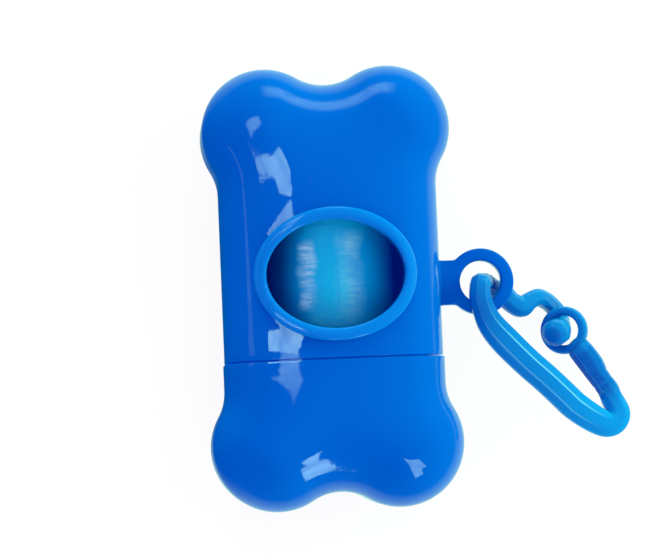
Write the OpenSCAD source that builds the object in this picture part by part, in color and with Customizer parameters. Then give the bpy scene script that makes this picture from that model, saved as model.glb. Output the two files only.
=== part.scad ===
// Bone-shaped dispenser for a roll of dog waste bags, lying on its flat back.
// X runs across the casing towards the hanging eye, Y along the casing, Z out of the window.
// The origin is on the surface it lies on, under the middle of the casing. Millimetres.

/* [Casing] */
// Length over the lobes
body_l = 84; // [80:1:92]
// Width over the lobes
body_w = 47.4; // [46:0.2:50]
// Width at the straight waist
waist_w = 41.3; // [40:0.1:43]
// Depth from the flat back to the crest of the front
body_d = 33.2; // [32:0.2:36]
// Radius of each lobe in plan
lobe_r = 12; // [11.6:0.1:12.6]
// How far the ends dip between their two lobes
end_dip = 3.35; // [2.6:0.05:4]
// Radius where a lobe runs into the waist
waist_r = 10; // [8:0.5:12]
// Rounding of the front edge
front_r = 11; // [9.5:0.1:11.2]
// Rounding of the back edge
back_r = 9; // [7:0.5:10]
// Slope at which the rounded front edge runs into the arch of the front, in degrees
front_slope = 13; // [8:1:16]
// Wall thickness of both shells
wall = 1.8; // [1.4:0.1:2]

/* [Seam and push fit] */
// Height of the cap
cap_l = 28.2; // [26:0.2:30]
// Open joint between cap and housing
seam_gap = 0.24; // [0.1:0.02:0.4]
// How far the side of the cap stands proud of the housing
cap_lip = 0.25; // [0:0.05:0.4]
// Length of the neck that the cap is pushed over
neck_l = 4.2; // [3:0.1:5]
// Wall thickness of that neck
neck_t = 1.2; // [1:0.1:1.4]
// Clearance between neck and cap on each side
fit = 0.15; // [0.1:0.01:0.3]
// Length of the foot that joins the neck to the housing wall
foot_l = 2.6; // [2:0.1:4]

/* [Window] */
// Width of the opening
win_w = 26; // [22:0.2:27]
// Height of the opening
win_h = 20.3; // [17:0.1:21]
// Place of its middle along the casing
win_y = 1.9; // [0:0.1:4]
// Width of the raised rim
rim_w = 2.35; // [2:0.05:3]
// Height of the rim over the casing
rim_h = 1.35; // [0.8:0.05:2]
// Wall of the part of the rim that sits in the casing
rim_neck_t = 1; // [0.8:0.1:1.2]
// Clearance round it and under the rim
rim_fit = 0.08; // [0.05:0.01:0.15]

/* [Hanging eye] */
// Outer diameter
lug_od = 12.8; // [11.6:0.2:14]
// Diameter of its hole
lug_bore = 8; // [7.6:0.1:9]
// Thickness of the plate
lug_t = 3; // [2.4:0.1:3.2]
// From the side of the waist to the middle of the hole
lug_reach = 8.3; // [7.4:0.1:9.5]
// Place of the hole along the casing
lug_y = 0.2; // [-2:0.1:2]
// Width of the stem
stem_w = 8.6; // [7:0.2:9.4]
// Radius of the hollow corners between stem and ring
lug_blend = 1.6; // [0.8:0.1:2]

/* [Bag roll] */
// Free height between a new roll and the rim of the window
roll_room = 1.85; // [1.4:0.05:6]
// Length of the roll
roll_l = 60; // [50:1:62]
// Outer diameter of the paper core
core_d = 14; // [10:0.5:16]
// Wall of the paper core
core_t = 0.9; // [0.6:0.1:1.2]
// Space under the roll and at its lower end
roll_gap = 0.4; // [0.3:0.1:1]

/* [Clip] */
// Direction in which the clip lies, seen from the front
clip_turn = -45; // [-60:1:-30]
// Reach of the clip from the hole to its far corner
clip_reach = 38.4; // [36:0.2:44]
// Distance of the long bar from the middle of the clip
bar_side = 5; // [4.6:0.1:5.6]
// Width of the long bar
bar_w = 5.6; // [5:0.1:6]
// Thickness of the long bar
bar_t = 4.4; // [4:0.1:5]
// Width of the strand that bends through the hole
bend_w = 3.9; // [3.4:0.1:4]
// Width of the strand on its way to the head
strand_w = 3.3; // [3:0.1:3.6]
// Width of the short arm
arm_w = 4.2; // [3.8:0.1:4.6]
// Outer diameter of the catch eye
eye_od = 9.4; // [9:0.1:10.4]
// Diameter of its hole
eye_bore = 5.8; // [5.6:0.1:6]
// Thickness of the catch eye
eye_t = 2.4; // [2:0.1:2.6]
// Diameter of the head that it snaps over
head_d = 5.2; // [4.8:0.1:5.2]
// Length of that head
head_l = 3.9; // [3.4:0.1:4.4]
// Diameter of the neck below the head
head_neck_d = 3; // [2.6:0.1:3.4]
// Thickness of the arm at its thin hinge
hinge_t = 0.6; // [0.5:0.1:0.8]
// From the hinge's axis to the end of each arm
hinge_slit = 0.16; // [0.12:0.02:0.2]
// Lean of the head towards the long bar
head_lean = 20; // [10:1:26]

/* [Hidden] */

casing_blue = "#005fd7";
rim_blue = "#007df0";
clip_blue = "#0082dc";
film_blue = "#00a5f0";
paper = "#c9b79a";

// Steps of each rounded stretch of the outline and of each rounded edge
dip_n = 4;
lobe_n = 14;
flare_n = 4;
waist_n = 2;
edge_n = 7;
crown_n = 3;
fine = 96;

// Plan of the casing: four lobes, joined by hollow dips at the ends and flares at the waist
half_l = body_l / 2;
half_waist = waist_w / 2;
lobe_x = body_w / 2 - lobe_r;
lobe_y = half_l - lobe_r;
dip_y = half_l - end_dip;
dip_rise = dip_y - lobe_y;
dip_r = (pow(lobe_x, 2) + pow(dip_rise, 2) - pow(lobe_r, 2)) / (2 * (lobe_r - dip_rise));
flare_x = half_waist + waist_r;
flare_y = lobe_y - sqrt(pow(lobe_r + waist_r, 2) - pow(flare_x - lobe_x, 2));
dip_angle = atan2(lobe_x, dip_y + dip_r - lobe_y);
flare_angle = atan2(lobe_y - flare_y, flare_x - lobe_x);

// One quarter of the outline moved inwards by e, from the dip at the top to the waist
function quarter(e) = concat(
    [for (k = [0:dip_n - 1]) let (a = dip_angle * k / dip_n)
        [(dip_r + e) * sin(a), dip_y + dip_r - (dip_r + e) * cos(a)]],
    [for (k = [0:lobe_n - 1]) let (a = 90 + dip_angle - (90 + dip_angle + flare_angle) * k / lobe_n)
        [lobe_x + (lobe_r - e) * cos(a), lobe_y + (lobe_r - e) * sin(a)]],
    [for (k = [0:flare_n]) let (a = 180 - flare_angle * (1 - k / flare_n))
        [flare_x + (waist_r + e) * cos(a), flare_y + (waist_r + e) * sin(a)]]);

// Right half from top to bottom, then the left half back up
function right_side(e) = let (q = quarter(e), m = len(q) - 1) concat(
    q,
    [for (k = [1:waist_n - 1]) [half_waist - e, flare_y * (1 - 2 * k / waist_n)]],
    [for (k = [0:m]) [q[m - k][0], -q[m - k][1]]]);
function outline(e) = let (r = right_side(e), m = len(r) - 1)
    concat(r, [for (k = [1:m - 1]) [-r[m - k][0], r[m - k][1]]]);

outline_n = len(outline(0));
spine_first = dip_n + lobe_n + flare_n;
spine_n = waist_n + 1;

// Where a point of the outline meets the line down the middle, as an index along that line
function spine_index(k) = let (j = min(k, outline_n - k)) min(max(j - spine_first, 0), waist_n);
function spine_y(k) = flare_y * (1 - 2 * spine_index(k) / waist_n);

// The front is an arch over the middle line that runs smoothly into the rounded edge
edge_mid_z = body_d - front_r * cos(front_slope)
    - (half_waist - front_r + front_r * sin(front_slope)) * tan(front_slope) / 2;
function arch_half(e) = half_waist - front_r + (front_r - e) * sin(front_slope);
function arch_rise(e) = arch_half(e) * tan(front_slope) / 2;
function arch_foot(e) = edge_mid_z + (front_r - e) * cos(front_slope);

// Levels of the shell, each as [inset, height, share of the way to the middle line]
function levels(e) = let (rb = back_r - e, rf = front_r - e) concat(
    [for (k = [0:edge_n]) let (a = 90 * k / edge_n)
        [e + rb * (1 - sin(a)), e + rb * (1 - cos(a)), 0]],
    [for (k = [0:edge_n]) let (a = (90 - front_slope) * k / edge_n)
        [e + rf * (1 - cos(a)), edge_mid_z + rf * sin(a), 0]],
    [for (k = [1:crown_n - 1]) let (s = k / crown_n)
        [e + rf * (1 - sin(front_slope)), arch_foot(e) + arch_rise(e) * (1 - pow(1 - s, 2)), s]]);
function crest(e) = arch_foot(e) + arch_rise(e);

// A closed solid of the casing's shape, e inside the outer skin and grown sideways by side
module bone_solid(e, side = 0) {
    rings = levels(e);
    rings_n = len(rings);
    last = rings_n * outline_n;
    skin = [for (ring = rings) let (flat = outline(ring[0] - side)) for (k = [0:outline_n - 1])
        let (x = flat[k][0] * (1 - ring[2]), y = flat[k][1] * (1 - ring[2]) + spine_y(k) * ring[2])
        [x, y, ring[1]]];
    spine = [for (z = [e, crest(e)]) for (k = [0:waist_n]) [0, flare_y * (1 - 2 * k / waist_n), z]];
    sides = [for (r = [0:rings_n - 2]) for (k = [0:outline_n - 1]) let (n = (k + 1) % outline_n)
        [r * outline_n + k, r * outline_n + n, (r + 1) * outline_n + n, (r + 1) * outline_n + k]];
    top = (rings_n - 1) * outline_n;
    closing = [for (k = [0:outline_n - 1])
        let (n = (k + 1) % outline_n, i = spine_index(k), j = spine_index(n))
        each concat(
            [[n, k, last + i], [top + k, top + n, last + spine_n + i]],
            i == j ? [] : [[n, last + i, last + j], [top + n, last + spine_n + j, last + spine_n + i]])];
    polyhedron(points = concat(skin, spine), faces = concat(sides, closing), convexity = 6);
}

// Section of the straight waist, moved inwards by e, as points of X and Z
function waist_side(e) = [for (ring = levels(e)) [(half_waist - ring[0]) * (1 - ring[2]), ring[1]]];
function waist_section(e) = let (side = waist_side(e), m = len(side) - 1) concat(
    side,
    [[0, crest(e)]],
    [for (k = [0:m]) [-side[m - k][0], side[m - k][1]]]);
module waist_bar(e, y0, y1) {
    translate([0, y1, 0])
        rotate([90, 0, 0])
            linear_extrude(y1 - y0)
                polygon(waist_section(e));
}

seam_y = cap_l - half_l;
neck_in = wall + fit + neck_t;

// The neck's foot bites into the housing wall just above the seam and overlaps the neck
foot_grip = 0.3;
foot_rise = 0.4;
foot_lap = 0.3;
foot_y = seam_y + seam_gap / 2 + foot_rise;
big = 2 * (body_l + body_w);

// Keeps the part of its children between two places along the casing
module keep_y(y0, y1) {
    intersection() {
        children();
        translate([-big / 2, y0, -big / 2])
            cube([big, y1 - y0, big]);
    }
}

// Height of the outer skin of the waist over a point x, along the skin's own facets
front_line = concat([for (p = waist_side(0)) if (p[1] > body_d / 2) p], [[0, body_d]]);
function front_z(x) = let (i = max([for (k = [0:len(front_line) - 2]) if (front_line[k][0] >= abs(x)) k]),
    a = front_line[i], b = front_line[i + 1]) a[1] + (b[1] - a[1]) * (a[0] - abs(x)) / (a[0] - b[0]);

// Ellipse of the window moved outwards by o
win_n = 64;
function win_point(k, o) = let (a = 360 * k / win_n, p = [win_w / 2 * cos(a), win_h / 2 * sin(a)],
    n = [win_h * cos(a), win_w * sin(a)]) p + n * o / norm(n) + [0, win_y];

// Section of the rim: distance out from the opening, height over the skin
rim_play = 0.35;
rim_under = -wall - rim_play;
rim_tip = -wall - 1;
rim_barb = 0.25;
rim_barb_h = 0.3;
rim_side = rim_h * 0.42;
rim_arc_n = 6;
rim_section = concat(
    [
        [0, rim_tip],
        [rim_neck_t, rim_tip],
        [rim_neck_t + rim_barb, rim_under - rim_barb_h],
        [rim_neck_t + rim_barb, rim_under],
        [rim_neck_t, rim_under],
        [rim_neck_t, rim_fit],
        [(rim_neck_t + rim_w) / 2, rim_fit],
        [rim_w, rim_fit]],
    [for (k = [0:rim_arc_n]) let (a = 180 * k / rim_arc_n)
        [rim_w * (1 + cos(a)) / 2, rim_side + (rim_h - rim_side) * sin(a)]]);
rim_section_n = len(rim_section);

module window_rim() {
    points = [for (k = [0:win_n - 1]) for (s = rim_section) let (p = win_point(k, s[0]))
        [p[0], p[1], front_z(p[0]) + s[1]]];
    faces = [for (k = [0:win_n - 1]) for (j = [0:rim_section_n - 1])
        let (a = k * rim_section_n, b = ((k + 1) % win_n) * rim_section_n, i = (j + 1) % rim_section_n)
        each [[a + j, a + i, b + j], [a + i, b + i, b + j]]];
    color(rim_blue)
        polyhedron(points = points, faces = faces, convexity = 6);
}

lug_x = half_waist + lug_reach;
lug_z = body_d / 2;
lug_root = wall * 0.6;

// Hollow corner between the stem and the ring
module lug_corner() {
    round_y = stem_w / 2 + lug_blend;
    round_x = sqrt(pow(lug_od / 2 + lug_blend, 2) - pow(round_y, 2));
    touch = lug_od / (lug_od + 2 * lug_blend);
    difference() {
        translate([-round_x, 0, 0])
            cube([round_x * (1 - touch), round_y * touch, lug_t]);
        translate([-round_x, round_y, -1])
            cylinder(h = lug_t + 2, r = lug_blend, $fn = fine);
    }
}

module lug() {
    translate([lug_x, lug_y, lug_z - lug_t / 2]) {
        cylinder(h = lug_t, d = lug_od, $fn = fine);
        translate([-lug_reach - lug_root, -stem_w / 2, 0])
            cube([lug_reach + lug_root, stem_w, lug_t]);
        lug_corner();
        mirror([0, 1, 0])
            lug_corner();
    }
}

module housing() {
    color(casing_blue)
        difference() {
            union() {
                keep_y(seam_y + seam_gap / 2, half_l + 1)
                    difference() {
                        bone_solid(0);
                        bone_solid(wall);
                    }
                difference() {
                    union() {
                        waist_bar(wall + fit, seam_y - neck_l, foot_y + foot_lap);
                        waist_bar(wall - foot_grip, foot_y, foot_y + foot_l);
                    }
                    waist_bar(neck_in, seam_y - neck_l - 1, foot_y + foot_l + 1);
                }
                lug();
            }
            translate([0, 0, body_d - wall * 3])
                linear_extrude(wall * 4)
                    polygon([for (k = [0:win_n - 1]) win_point(k, rim_neck_t + rim_fit)]);
            translate([lug_x, lug_y, 0])
                cylinder(h = body_d, d = lug_bore, $fn = fine);
        }
}

module cap() {
    color(casing_blue)
        keep_y(-half_l - 1, seam_y - seam_gap / 2)
            difference() {
                bone_solid(0, cap_lip);
                bone_solid(wall);
            }
}

// A new roll fills the depth from the inside of the neck's back wall to just under the rim
roll_d = body_d + rim_tip - neck_in - roll_gap - roll_room;

// It lies on that wall and stands near the lower end of the cap
roll_z = neck_in + roll_gap + roll_d / 2;
roof_r = front_r - wall;
roof_share = min(1, max(0, (roll_z + roll_d / 2 - edge_mid_z) / roof_r));
roll_y0 = -dip_y + wall + roof_r * (1 - sqrt(1 - pow(roof_share, 2))) + roll_gap;
module along_roll() {
    translate([0, roll_y0 + roll_l, roll_z])
        rotate([90, 0, 0])
            children();
}

core_inset = 0.5;
module roll_core() {
    color(paper)
        along_roll()
            translate([0, 0, core_inset])
                difference() {
                    cylinder(h = roll_l - 2 * core_inset, d = core_d, $fn = fine);
                    translate([0, 0, -1])
                        cylinder(h = roll_l + 2, d = core_d - 2 * core_t, $fn = fine);
                }
}

film_slack = 0.05;
module bag_roll() {
    color(film_blue)
        along_roll()
            difference() {
                cylinder(h = roll_l, d = roll_d, $fn = fine);
                translate([0, 0, -1])
                    cylinder(h = roll_l + 2, d = core_d + 2 * film_slack, $fn = fine);
            }
}

// The clip is drawn from the middle of the hole: along it, across it and up
over_gap = 1.1;
under_gap = 0.5;
over = lug_t / 2 + bend_w / 2 + over_gap;
under = lug_t / 2 + bend_w / 2 + under_gap;
eye_at = [clip_reach / 2, bar_side + 0.5, -9.5];
hinge_at = [clip_reach - 7.1, 2.8, -6.6];
bar_v = -bar_side;

function unit(v) = v / norm(v);
arm_way = unit(eye_at - hinge_at);
arm_l = norm(eye_at - hinge_at);
arm_side = unit(cross(arm_way, [0, 0, 1])) * -1;
arm_up = unit([0, 0, 1] - arm_way * arm_way[2]);
lift_way = arm_up * cos(head_lean) + arm_side * sin(head_lean);
hinge_axis = cross(arm_way, lift_way);

// Place that the middle of the catch eye reaches when the arm is lifted by an angle
function eye_path(a) = hinge_at + arm_l * (cos(a) * arm_way + sin(a) * lift_way);
function lift_angle(s) = s / arm_l * 180 / PI;

// The head on its neck: distance along that path, diameter
head_gap = 0.5;
head_from = eye_t / 2 + head_gap;
head_tip = head_from + head_l;
head_tip_d = head_d * 0.62;
head_cut = 0.9;
head_round = 0.35;
neck_flare = 0.2;
neck_root = 1.4;
head_steps = [
    [head_tip, head_tip_d],
    [head_tip - head_round / 7, head_tip_d + head_round / 3],
    [head_tip - head_cut, head_d],
    [head_from + head_round, head_d],
    [head_from, head_neck_d + neck_flare],
    [0, head_neck_d],
    [-neck_root, head_neck_d]];
head_turn = -60;
cut = 0.46;
across = 1 / norm([1, cut]);
function head_point(s) = concat(eye_path(lift_angle(s[0])), [s[1] * across, s[1] * across, head_turn, 0]);

// Control points of the frame: along, across, up, width, thickness, turn of its width in plan
mid_u = clip_reach / 2;
frame_route = [
    [mid_u - 0.9, bar_side + 1.9, -14, strand_w - 0.2, strand_w - 0.3, -60],
    [mid_u - 2.6, bar_side + 2.8, -14.5, strand_w, strand_w - 0.2, -75],
    [mid_u - 4.5, bar_side + 3, -13.8, strand_w, strand_w - 0.1, -80],
    [mid_u - 6.4, bar_side + 2.4, -11.6, strand_w, strand_w, -60],
    [mid_u - 8.1, bar_side + 1, -9.2, strand_w, strand_w, -40],
    [mid_u - 9.6, bar_side - 1, -7.6, bend_w, strand_w, -40],
    [8, 2.7, -6, bend_w, strand_w, -55],
    [5.2, 2, -under - 0.7, bend_w, strand_w, -72],
    [2.9, 1.2, -under + 0.3, bend_w, strand_w + 0.2, -90],
    [1.4, 0.4, -lug_t / 2, bend_w - 0.2, strand_w + 0.2, -115],
    [0.9, -0.1, 0, bend_w - 0.2, strand_w + 0.2, -135],
    [0.6, -0.6, lug_t / 2, bend_w, strand_w + 0.2, -148],
    [0.7, -1.4, over - 1, bend_w, strand_w + 0.3, -152],
    [1.9, -2.8, over, bend_w + 0.2, strand_w + 0.4, -143],
    [4.2, -4.1, over - 0.3, bend_w + 0.5, strand_w + 0.6, -122],
    [7.1, bar_v, over - 1.4, bar_w - 0.5, bar_t - 0.2, -102],
    [11, bar_v - 0.3, 1.8, bar_w, bar_t, -90],
    [clip_reach * 0.44, bar_v - 0.3, 0.3, bar_w, bar_t, -90],
    [clip_reach * 0.58, bar_v, -1, bar_w, bar_t, -89],
    [clip_reach * 0.7, bar_v + 0.1, -2.2, bar_w, bar_t, -88],
    [clip_reach - 8.4, bar_v + 0.2, -3.2, bar_w, bar_t, -86],
    [clip_reach - 4.3, bar_v + 0.9, -4.2, bar_w - 0.2, bar_t, -72],
    [clip_reach - 1.6, bar_v + 2.2, -4.8, bar_w - 0.6, bar_t, -45],
    [clip_reach - 0.2, bar_v + 3.7, -5.1, bar_w - 0.9, bar_t - 0.2, 0],
    [clip_reach - 1, bar_v + 5.4, -5.4, arm_w + 0.2, bar_t - 0.4, 45],
    [clip_reach - 3.6, bar_v + 6.5, -6, arm_w, bar_t - 0.6, 66]];

// The arm's width lies along the axis of its thin hinge
arm_turn = atan2(hinge_axis[1], hinge_axis[0]);
arm_tilt = asin(hinge_axis[2]);
gate_route = [
    [clip_reach * 0.71, 4.2, -7.7, arm_w, arm_w - 0.6, arm_turn, arm_tilt],
    [clip_reach * 0.61, 5, -8.8, arm_w - 0.2, arm_w - 0.9, arm_turn, arm_tilt]];

// Smooth run through control points
route_steps = 3;
function blend(p0, p1, p2, p3, t) = 0.5 * (2 * p1 + (p2 - p0) * t
    + (2 * p0 - 5 * p1 + 4 * p2 - p3) * t * t + (3 * p1 - p0 - 3 * p2 + p3) * t * t * t);
function smooth(p) = let (m = len(p) - 1) concat(
    [for (k = [0:m - 1]) for (s = [0:route_steps - 1])
        blend(p[max(k - 1, 0)], p[k], p[k + 1], p[min(k + 2, m)], s / route_steps)],
    [p[m]]);
function place(p) = [p[0], p[1], p[2]];

// Eight-sided section with flat faces
bar_section = [[1, cut], [cut, 1], [-cut, 1], [-1, cut], [-1, -cut], [-cut, -1], [cut, -1], [1, -cut]];
bar_section_n = len(bar_section);
module strand(run) {
    m = len(run) - 1;
    points = [for (k = [0:m]) let (
        way = unit(place(run[min(k + 1, m)]) - place(run[max(k - 1, 0)])),
        aside = [cos(run[k][5]) * cos(run[k][6]), sin(run[k][5]) * cos(run[k][6]), sin(run[k][6])],
        side = unit(aside - way * (way * aside)),
        up = cross(side, way))
        for (s = bar_section) place(run[k]) + side * s[0] * run[k][3] / 2 + up * s[1] * run[k][4] / 2];
    sides = [for (k = [0:m - 1]) for (j = [0:bar_section_n - 1])
        let (a = k * bar_section_n, b = a + bar_section_n, i = (j + 1) % bar_section_n)
        each [[a + j, a + i, b + j], [a + i, b + i, b + j]]];
    start = [for (j = [0:bar_section_n - 1]) bar_section_n - 1 - j];
    end = [for (j = [0:bar_section_n - 1]) m * bar_section_n + j];
    polyhedron(points = points, faces = concat(sides, [start, end]), convexity = 8);
}

module at_lug() {
    translate([lug_x, lug_y, lug_z])
        rotate([0, 0, clip_turn])
            children();
}

// Turns the Z axis onto a direction
module aim(way) {
    rotate([0, acos(way[2]), atan2(way[1], way[0])])
        children();
}

// Each arm thins down to the web of the hinge and ends just short of its axis
hinge_run = 1.7;
function hinge_end(way) = concat(hinge_at + way * hinge_slit, [arm_w - 0.6, hinge_t, arm_turn, arm_tilt]);
function hinge_start(way) =
    concat(hinge_at + way * hinge_run, [arm_w - 0.1, arm_w - 0.9, arm_turn, arm_tilt]);

module clip_frame() {
    run = smooth(concat(
        [for (s = head_steps) head_point(s)],
        [for (p = frame_route) concat(p, [0])],
        [hinge_start(-arm_way), hinge_end(-arm_way)]));
    color(clip_blue)
        at_lug()
            strand(run);
}

module clip_gate() {
    ring_mid = (eye_bore + eye_od) / 2;
    reach = eye_at - arm_way * ring_mid / 2;
    run = smooth(concat(
        [hinge_end(arm_way), hinge_start(arm_way)],
        gate_route,
        [concat(reach, [arm_w - 1, eye_t - 0.3, arm_turn, arm_tilt])]));
    color(clip_blue)
        at_lug()
            union() {
                difference() {
                    strand(run);
                    translate(eye_at)
                        aim(lift_way)
                            translate([0, 0, -eye_t])
                                cylinder(h = 2 * eye_t, d = ring_mid, $fn = fine);
                }
                translate(eye_at)
                    aim(lift_way)
                        difference() {
                            cylinder(h = eye_t, d = eye_od, center = true, $fn = fine);
                            cylinder(h = eye_t + 2, d = eye_bore, center = true, $fn = fine);
                        }
            }
}

housing();
window_rim();
cap();
roll_core();
bag_roll();
clip_frame();
clip_gate();
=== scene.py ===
"""Bone-shaped dispenser for a roll of dog waste bags, lying on its back on a white ground.

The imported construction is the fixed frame, and every piece here stands where its node stands.
Each class builds and dresses one sub-assembly. Lengths are millimetres unless a name ends in _m.
"""

import logging
import math
from dataclasses import dataclass
from enum import Enum
from functools import cached_property
from typing import NamedTuple, Sequence

import bmesh
import bpy
import numpy as np
from mathutils import Matrix, Vector
from mathutils.bvhtree import BVHTree
from mathutils.geometry import delaunay_2d_cdt


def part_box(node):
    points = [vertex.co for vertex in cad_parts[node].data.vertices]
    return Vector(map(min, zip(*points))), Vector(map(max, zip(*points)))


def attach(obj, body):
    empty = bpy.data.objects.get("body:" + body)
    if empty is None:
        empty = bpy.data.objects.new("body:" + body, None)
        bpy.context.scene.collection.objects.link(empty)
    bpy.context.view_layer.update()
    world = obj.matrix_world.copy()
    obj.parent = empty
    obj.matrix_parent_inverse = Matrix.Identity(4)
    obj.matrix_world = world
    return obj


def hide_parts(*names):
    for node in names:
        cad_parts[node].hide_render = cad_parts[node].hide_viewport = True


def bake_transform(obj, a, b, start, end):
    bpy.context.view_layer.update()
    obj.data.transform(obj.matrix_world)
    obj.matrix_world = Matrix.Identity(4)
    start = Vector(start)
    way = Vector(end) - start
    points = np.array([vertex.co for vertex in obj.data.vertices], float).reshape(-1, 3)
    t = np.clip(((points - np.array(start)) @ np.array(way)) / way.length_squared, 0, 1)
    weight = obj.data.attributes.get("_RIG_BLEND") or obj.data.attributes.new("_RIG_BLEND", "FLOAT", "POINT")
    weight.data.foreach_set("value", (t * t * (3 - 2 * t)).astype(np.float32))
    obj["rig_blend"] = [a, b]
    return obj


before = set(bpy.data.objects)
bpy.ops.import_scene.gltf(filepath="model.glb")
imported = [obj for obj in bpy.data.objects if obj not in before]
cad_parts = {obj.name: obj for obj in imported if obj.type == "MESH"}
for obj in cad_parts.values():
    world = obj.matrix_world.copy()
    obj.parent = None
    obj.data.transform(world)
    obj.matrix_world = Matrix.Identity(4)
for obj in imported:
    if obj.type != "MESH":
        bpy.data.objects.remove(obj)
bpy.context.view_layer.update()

log = logging.getLogger("dispenser")

MM = 0.001
# Least distance of a grid's points from an edge, as a share of their spacing
GRID_MARGIN = 0.45

# Names of the values that meshes carry for their materials
# Share of painted glow: 1 on the inner skin, more along the seam's cut edge and on the neck
PAINTED_GLOW = "inside"
GLOW = "glow"
# Painted light and shade along the clip: from 0, painted shade, to 1, painted light
PAINTED_LIGHT = "tone_and_painted_light"
# Painted highlight along corners of the clip's section
RIDGE_HIGHLIGHT = "ridge_highlight"

Colour = tuple[float, float, float]


class Slot(Enum):
    """Material slots of the record, one named for each kind of piece."""

    CASING = "casing_plastic"
    RIM = "rim_plastic"
    CLIP = "clip_plastic"
    FILM = "bag_film"


class Body(Enum):
    """Bodies of the frame that move as one."""

    CASING = "casing"
    CAP = "cap"
    ROLL = "roll"
    CLIP = "clip"
    GATE = "gate"


class Side(Enum):
    """Which way along the casing a cut edge faces."""

    UP = 1
    DOWN = -1


def node_box(*names: str) -> tuple[np.ndarray, np.ndarray]:
    """Give the lowest and highest corner of some nodes together, in millimetres.

    Args:
        names: Names of nodes of the frame.

    Returns:
        Lowest corner and highest corner.
    """
    corners = [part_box(name) for name in names]
    low = np.min([np.array(low) for low, _ in corners], axis=0)
    high = np.max([np.array(high) for _, high in corners], axis=0)
    return low / MM, high / MM


def unit(vector: np.ndarray) -> np.ndarray:
    """Scale vectors to length one along their last axis."""
    return vector / np.linalg.norm(vector, axis=-1, keepdims=True)


def direction(azimuth: np.ndarray, height: np.ndarray) -> np.ndarray:
    """Point where an azimuth from +X towards +Y and a height over the level lead, in radians."""
    level = np.cos(height)
    return np.stack([np.cos(azimuth) * level, np.sin(azimuth) * level, np.sin(height)], axis=-1)


def grid_points(low: Sequence[float], high: Sequence[float], spacing: float) -> np.ndarray:
    """Lay a square grid of plan points between two corners."""
    across, along = [np.arange(start, end, spacing) for start, end in zip(low, high)]
    return np.stack(np.meshgrid(across, along, indexing="ij"), axis=-1).reshape(-1, 2)


def edge_distance(points: np.ndarray, edge: np.ndarray) -> np.ndarray:
    """Measure how far each plan point is from the nearest point of an edge."""
    return np.min(np.linalg.norm(points[:, None] - edge, axis=2), axis=1)


def arc(centre: Sequence[float], radius: float, start: float, end: float, steps: int) -> np.ndarray:
    """Lay points on an arc, without its last point.

    Args:
        centre: Middle of the circle.
        radius: Its radius.
        start: First angle, in radians.
        end: Angle at which the next stretch begins.
        steps: Number of points.

    Returns:
        Points as rows of two numbers.
    """
    angles = np.linspace(start, end, steps, endpoint=False)
    return np.array(centre) + radius * np.stack([np.cos(angles), np.sin(angles)], axis=1)


def band_faces(rows: int, columns: int, wrap_rows: bool = False) -> list[tuple[int, ...]]:
    """Join neighbouring closed rows of points with quads.

    Args:
        rows: Number of rows.
        columns: Points in each row.
        wrap_rows: Whether the last row joins the first again.

    Returns:
        Faces as tuples of point numbers.
    """
    faces = []
    for r in range(rows if wrap_rows else rows - 1):
        below, above = r * columns, (r + 1) % rows * columns
        for c in range(columns):
            d = (c + 1) % columns
            faces.append((below + c, below + d, above + d, above + c))
    return faces


def add_points(bm: bmesh.types.BMesh, points: np.ndarray, faces: Sequence[Sequence[int]]) -> list:
    """Add points and faces to a mesh under construction.

    Args:
        bm: The mesh.
        points: Points in millimetres.
        faces: Faces as numbers of these points.

    Returns:
        The new vertices in order.
    """
    verts = [bm.verts.new(p) for p in points]
    for face in faces:
        bm.faces.new([verts[i] for i in face])
    return verts


def drop_hole(plan: np.ndarray, faces: Sequence[Sequence[int]], hole: np.ndarray) -> list:
    """Leave out the faces that lie in a hole.

    Args:
        plan: Plan points.
        faces: Faces as numbers of these points.
        hole: Closed outline of a hole that bulges outwards all round.

    Returns:
        The faces outside the hole.
    """
    middle = hole.mean(axis=0)
    reach = np.linalg.norm(hole - middle, axis=1)
    angles = np.arctan2(*(hole - middle).T[::-1])
    order = np.argsort(angles)
    kept = []
    for face in faces:
        offset = plan[list(face)].mean(axis=0) - middle
        angle = math.atan2(offset[1], offset[0])
        limit = np.interp(angle, angles[order], reach[order], period=2 * math.pi)
        if np.linalg.norm(offset) > limit * 0.999:
            kept.append(face)
    return kept


def fill_flat(outer: np.ndarray, hole: np.ndarray | None,
              inside: np.ndarray | None) -> tuple[np.ndarray, list]:
    """Fill an outline with triangles, seen from above.

    Args:
        outer: Closed outline.
        hole: Closed outline of a hole, or None.
        inside: Further points between them, or None.

    Returns:
        Plan points, the outline's first, then the hole's, and the triangles.
    """
    loops = [outer] if hole is None else [outer, hole]
    edges, first = [], 0
    for loop in loops:
        edges += [(first + k, first + (k + 1) % len(loop)) for k in range(len(loop))]
        first += len(loop)
    points = np.concatenate(loops + ([] if inside is None else [inside]))
    verts, _, faces, *_ = delaunay_2d_cdt([Vector(p) for p in points], edges, [], 1, 1e-6)
    plan = np.array([tuple(v) for v in verts])
    if hole is not None:
        faces = drop_hole(plan, faces, hole)
    return plan, [tuple(face) for face in faces]


def edge_loop(edges: Sequence[bmesh.types.BMEdge]) -> list:
    """Put the vertices of one closed loop of edges in order.

    Args:
        edges: The edges in any order.

    Returns:
        The vertices from one to the next.
    """
    links: dict = {}
    for edge in edges:
        for a, b in (edge.verts, reversed(edge.verts)):
            links.setdefault(a, []).append(b)
    start = edges[0].verts[0]
    loop, before, here = [start], None, start
    while True:
        after = next(v for v in links[here] if v is not before)
        if after is start:
            return loop
        loop.append(after)
        before, here = here, after


def loop_edges(bm: bmesh.types.BMesh, loop: Sequence) -> list:
    """Give the edges between neighbours of a closed loop of vertices."""
    return [bm.edges.get((a, b)) or bm.edges.new((a, b)) for a, b in zip(loop, [*loop[1:], loop[0]])]


def new_object(name: str, data: bpy.types.ID) -> bpy.types.Object:
    """Put an object with some data into the scene.

    Args:
        name: Its name.
        data: Its mesh, camera or lamp.

    Returns:
        The object.
    """
    obj = bpy.data.objects.new(name, data)
    bpy.context.scene.collection.objects.link(obj)
    return obj


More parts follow.
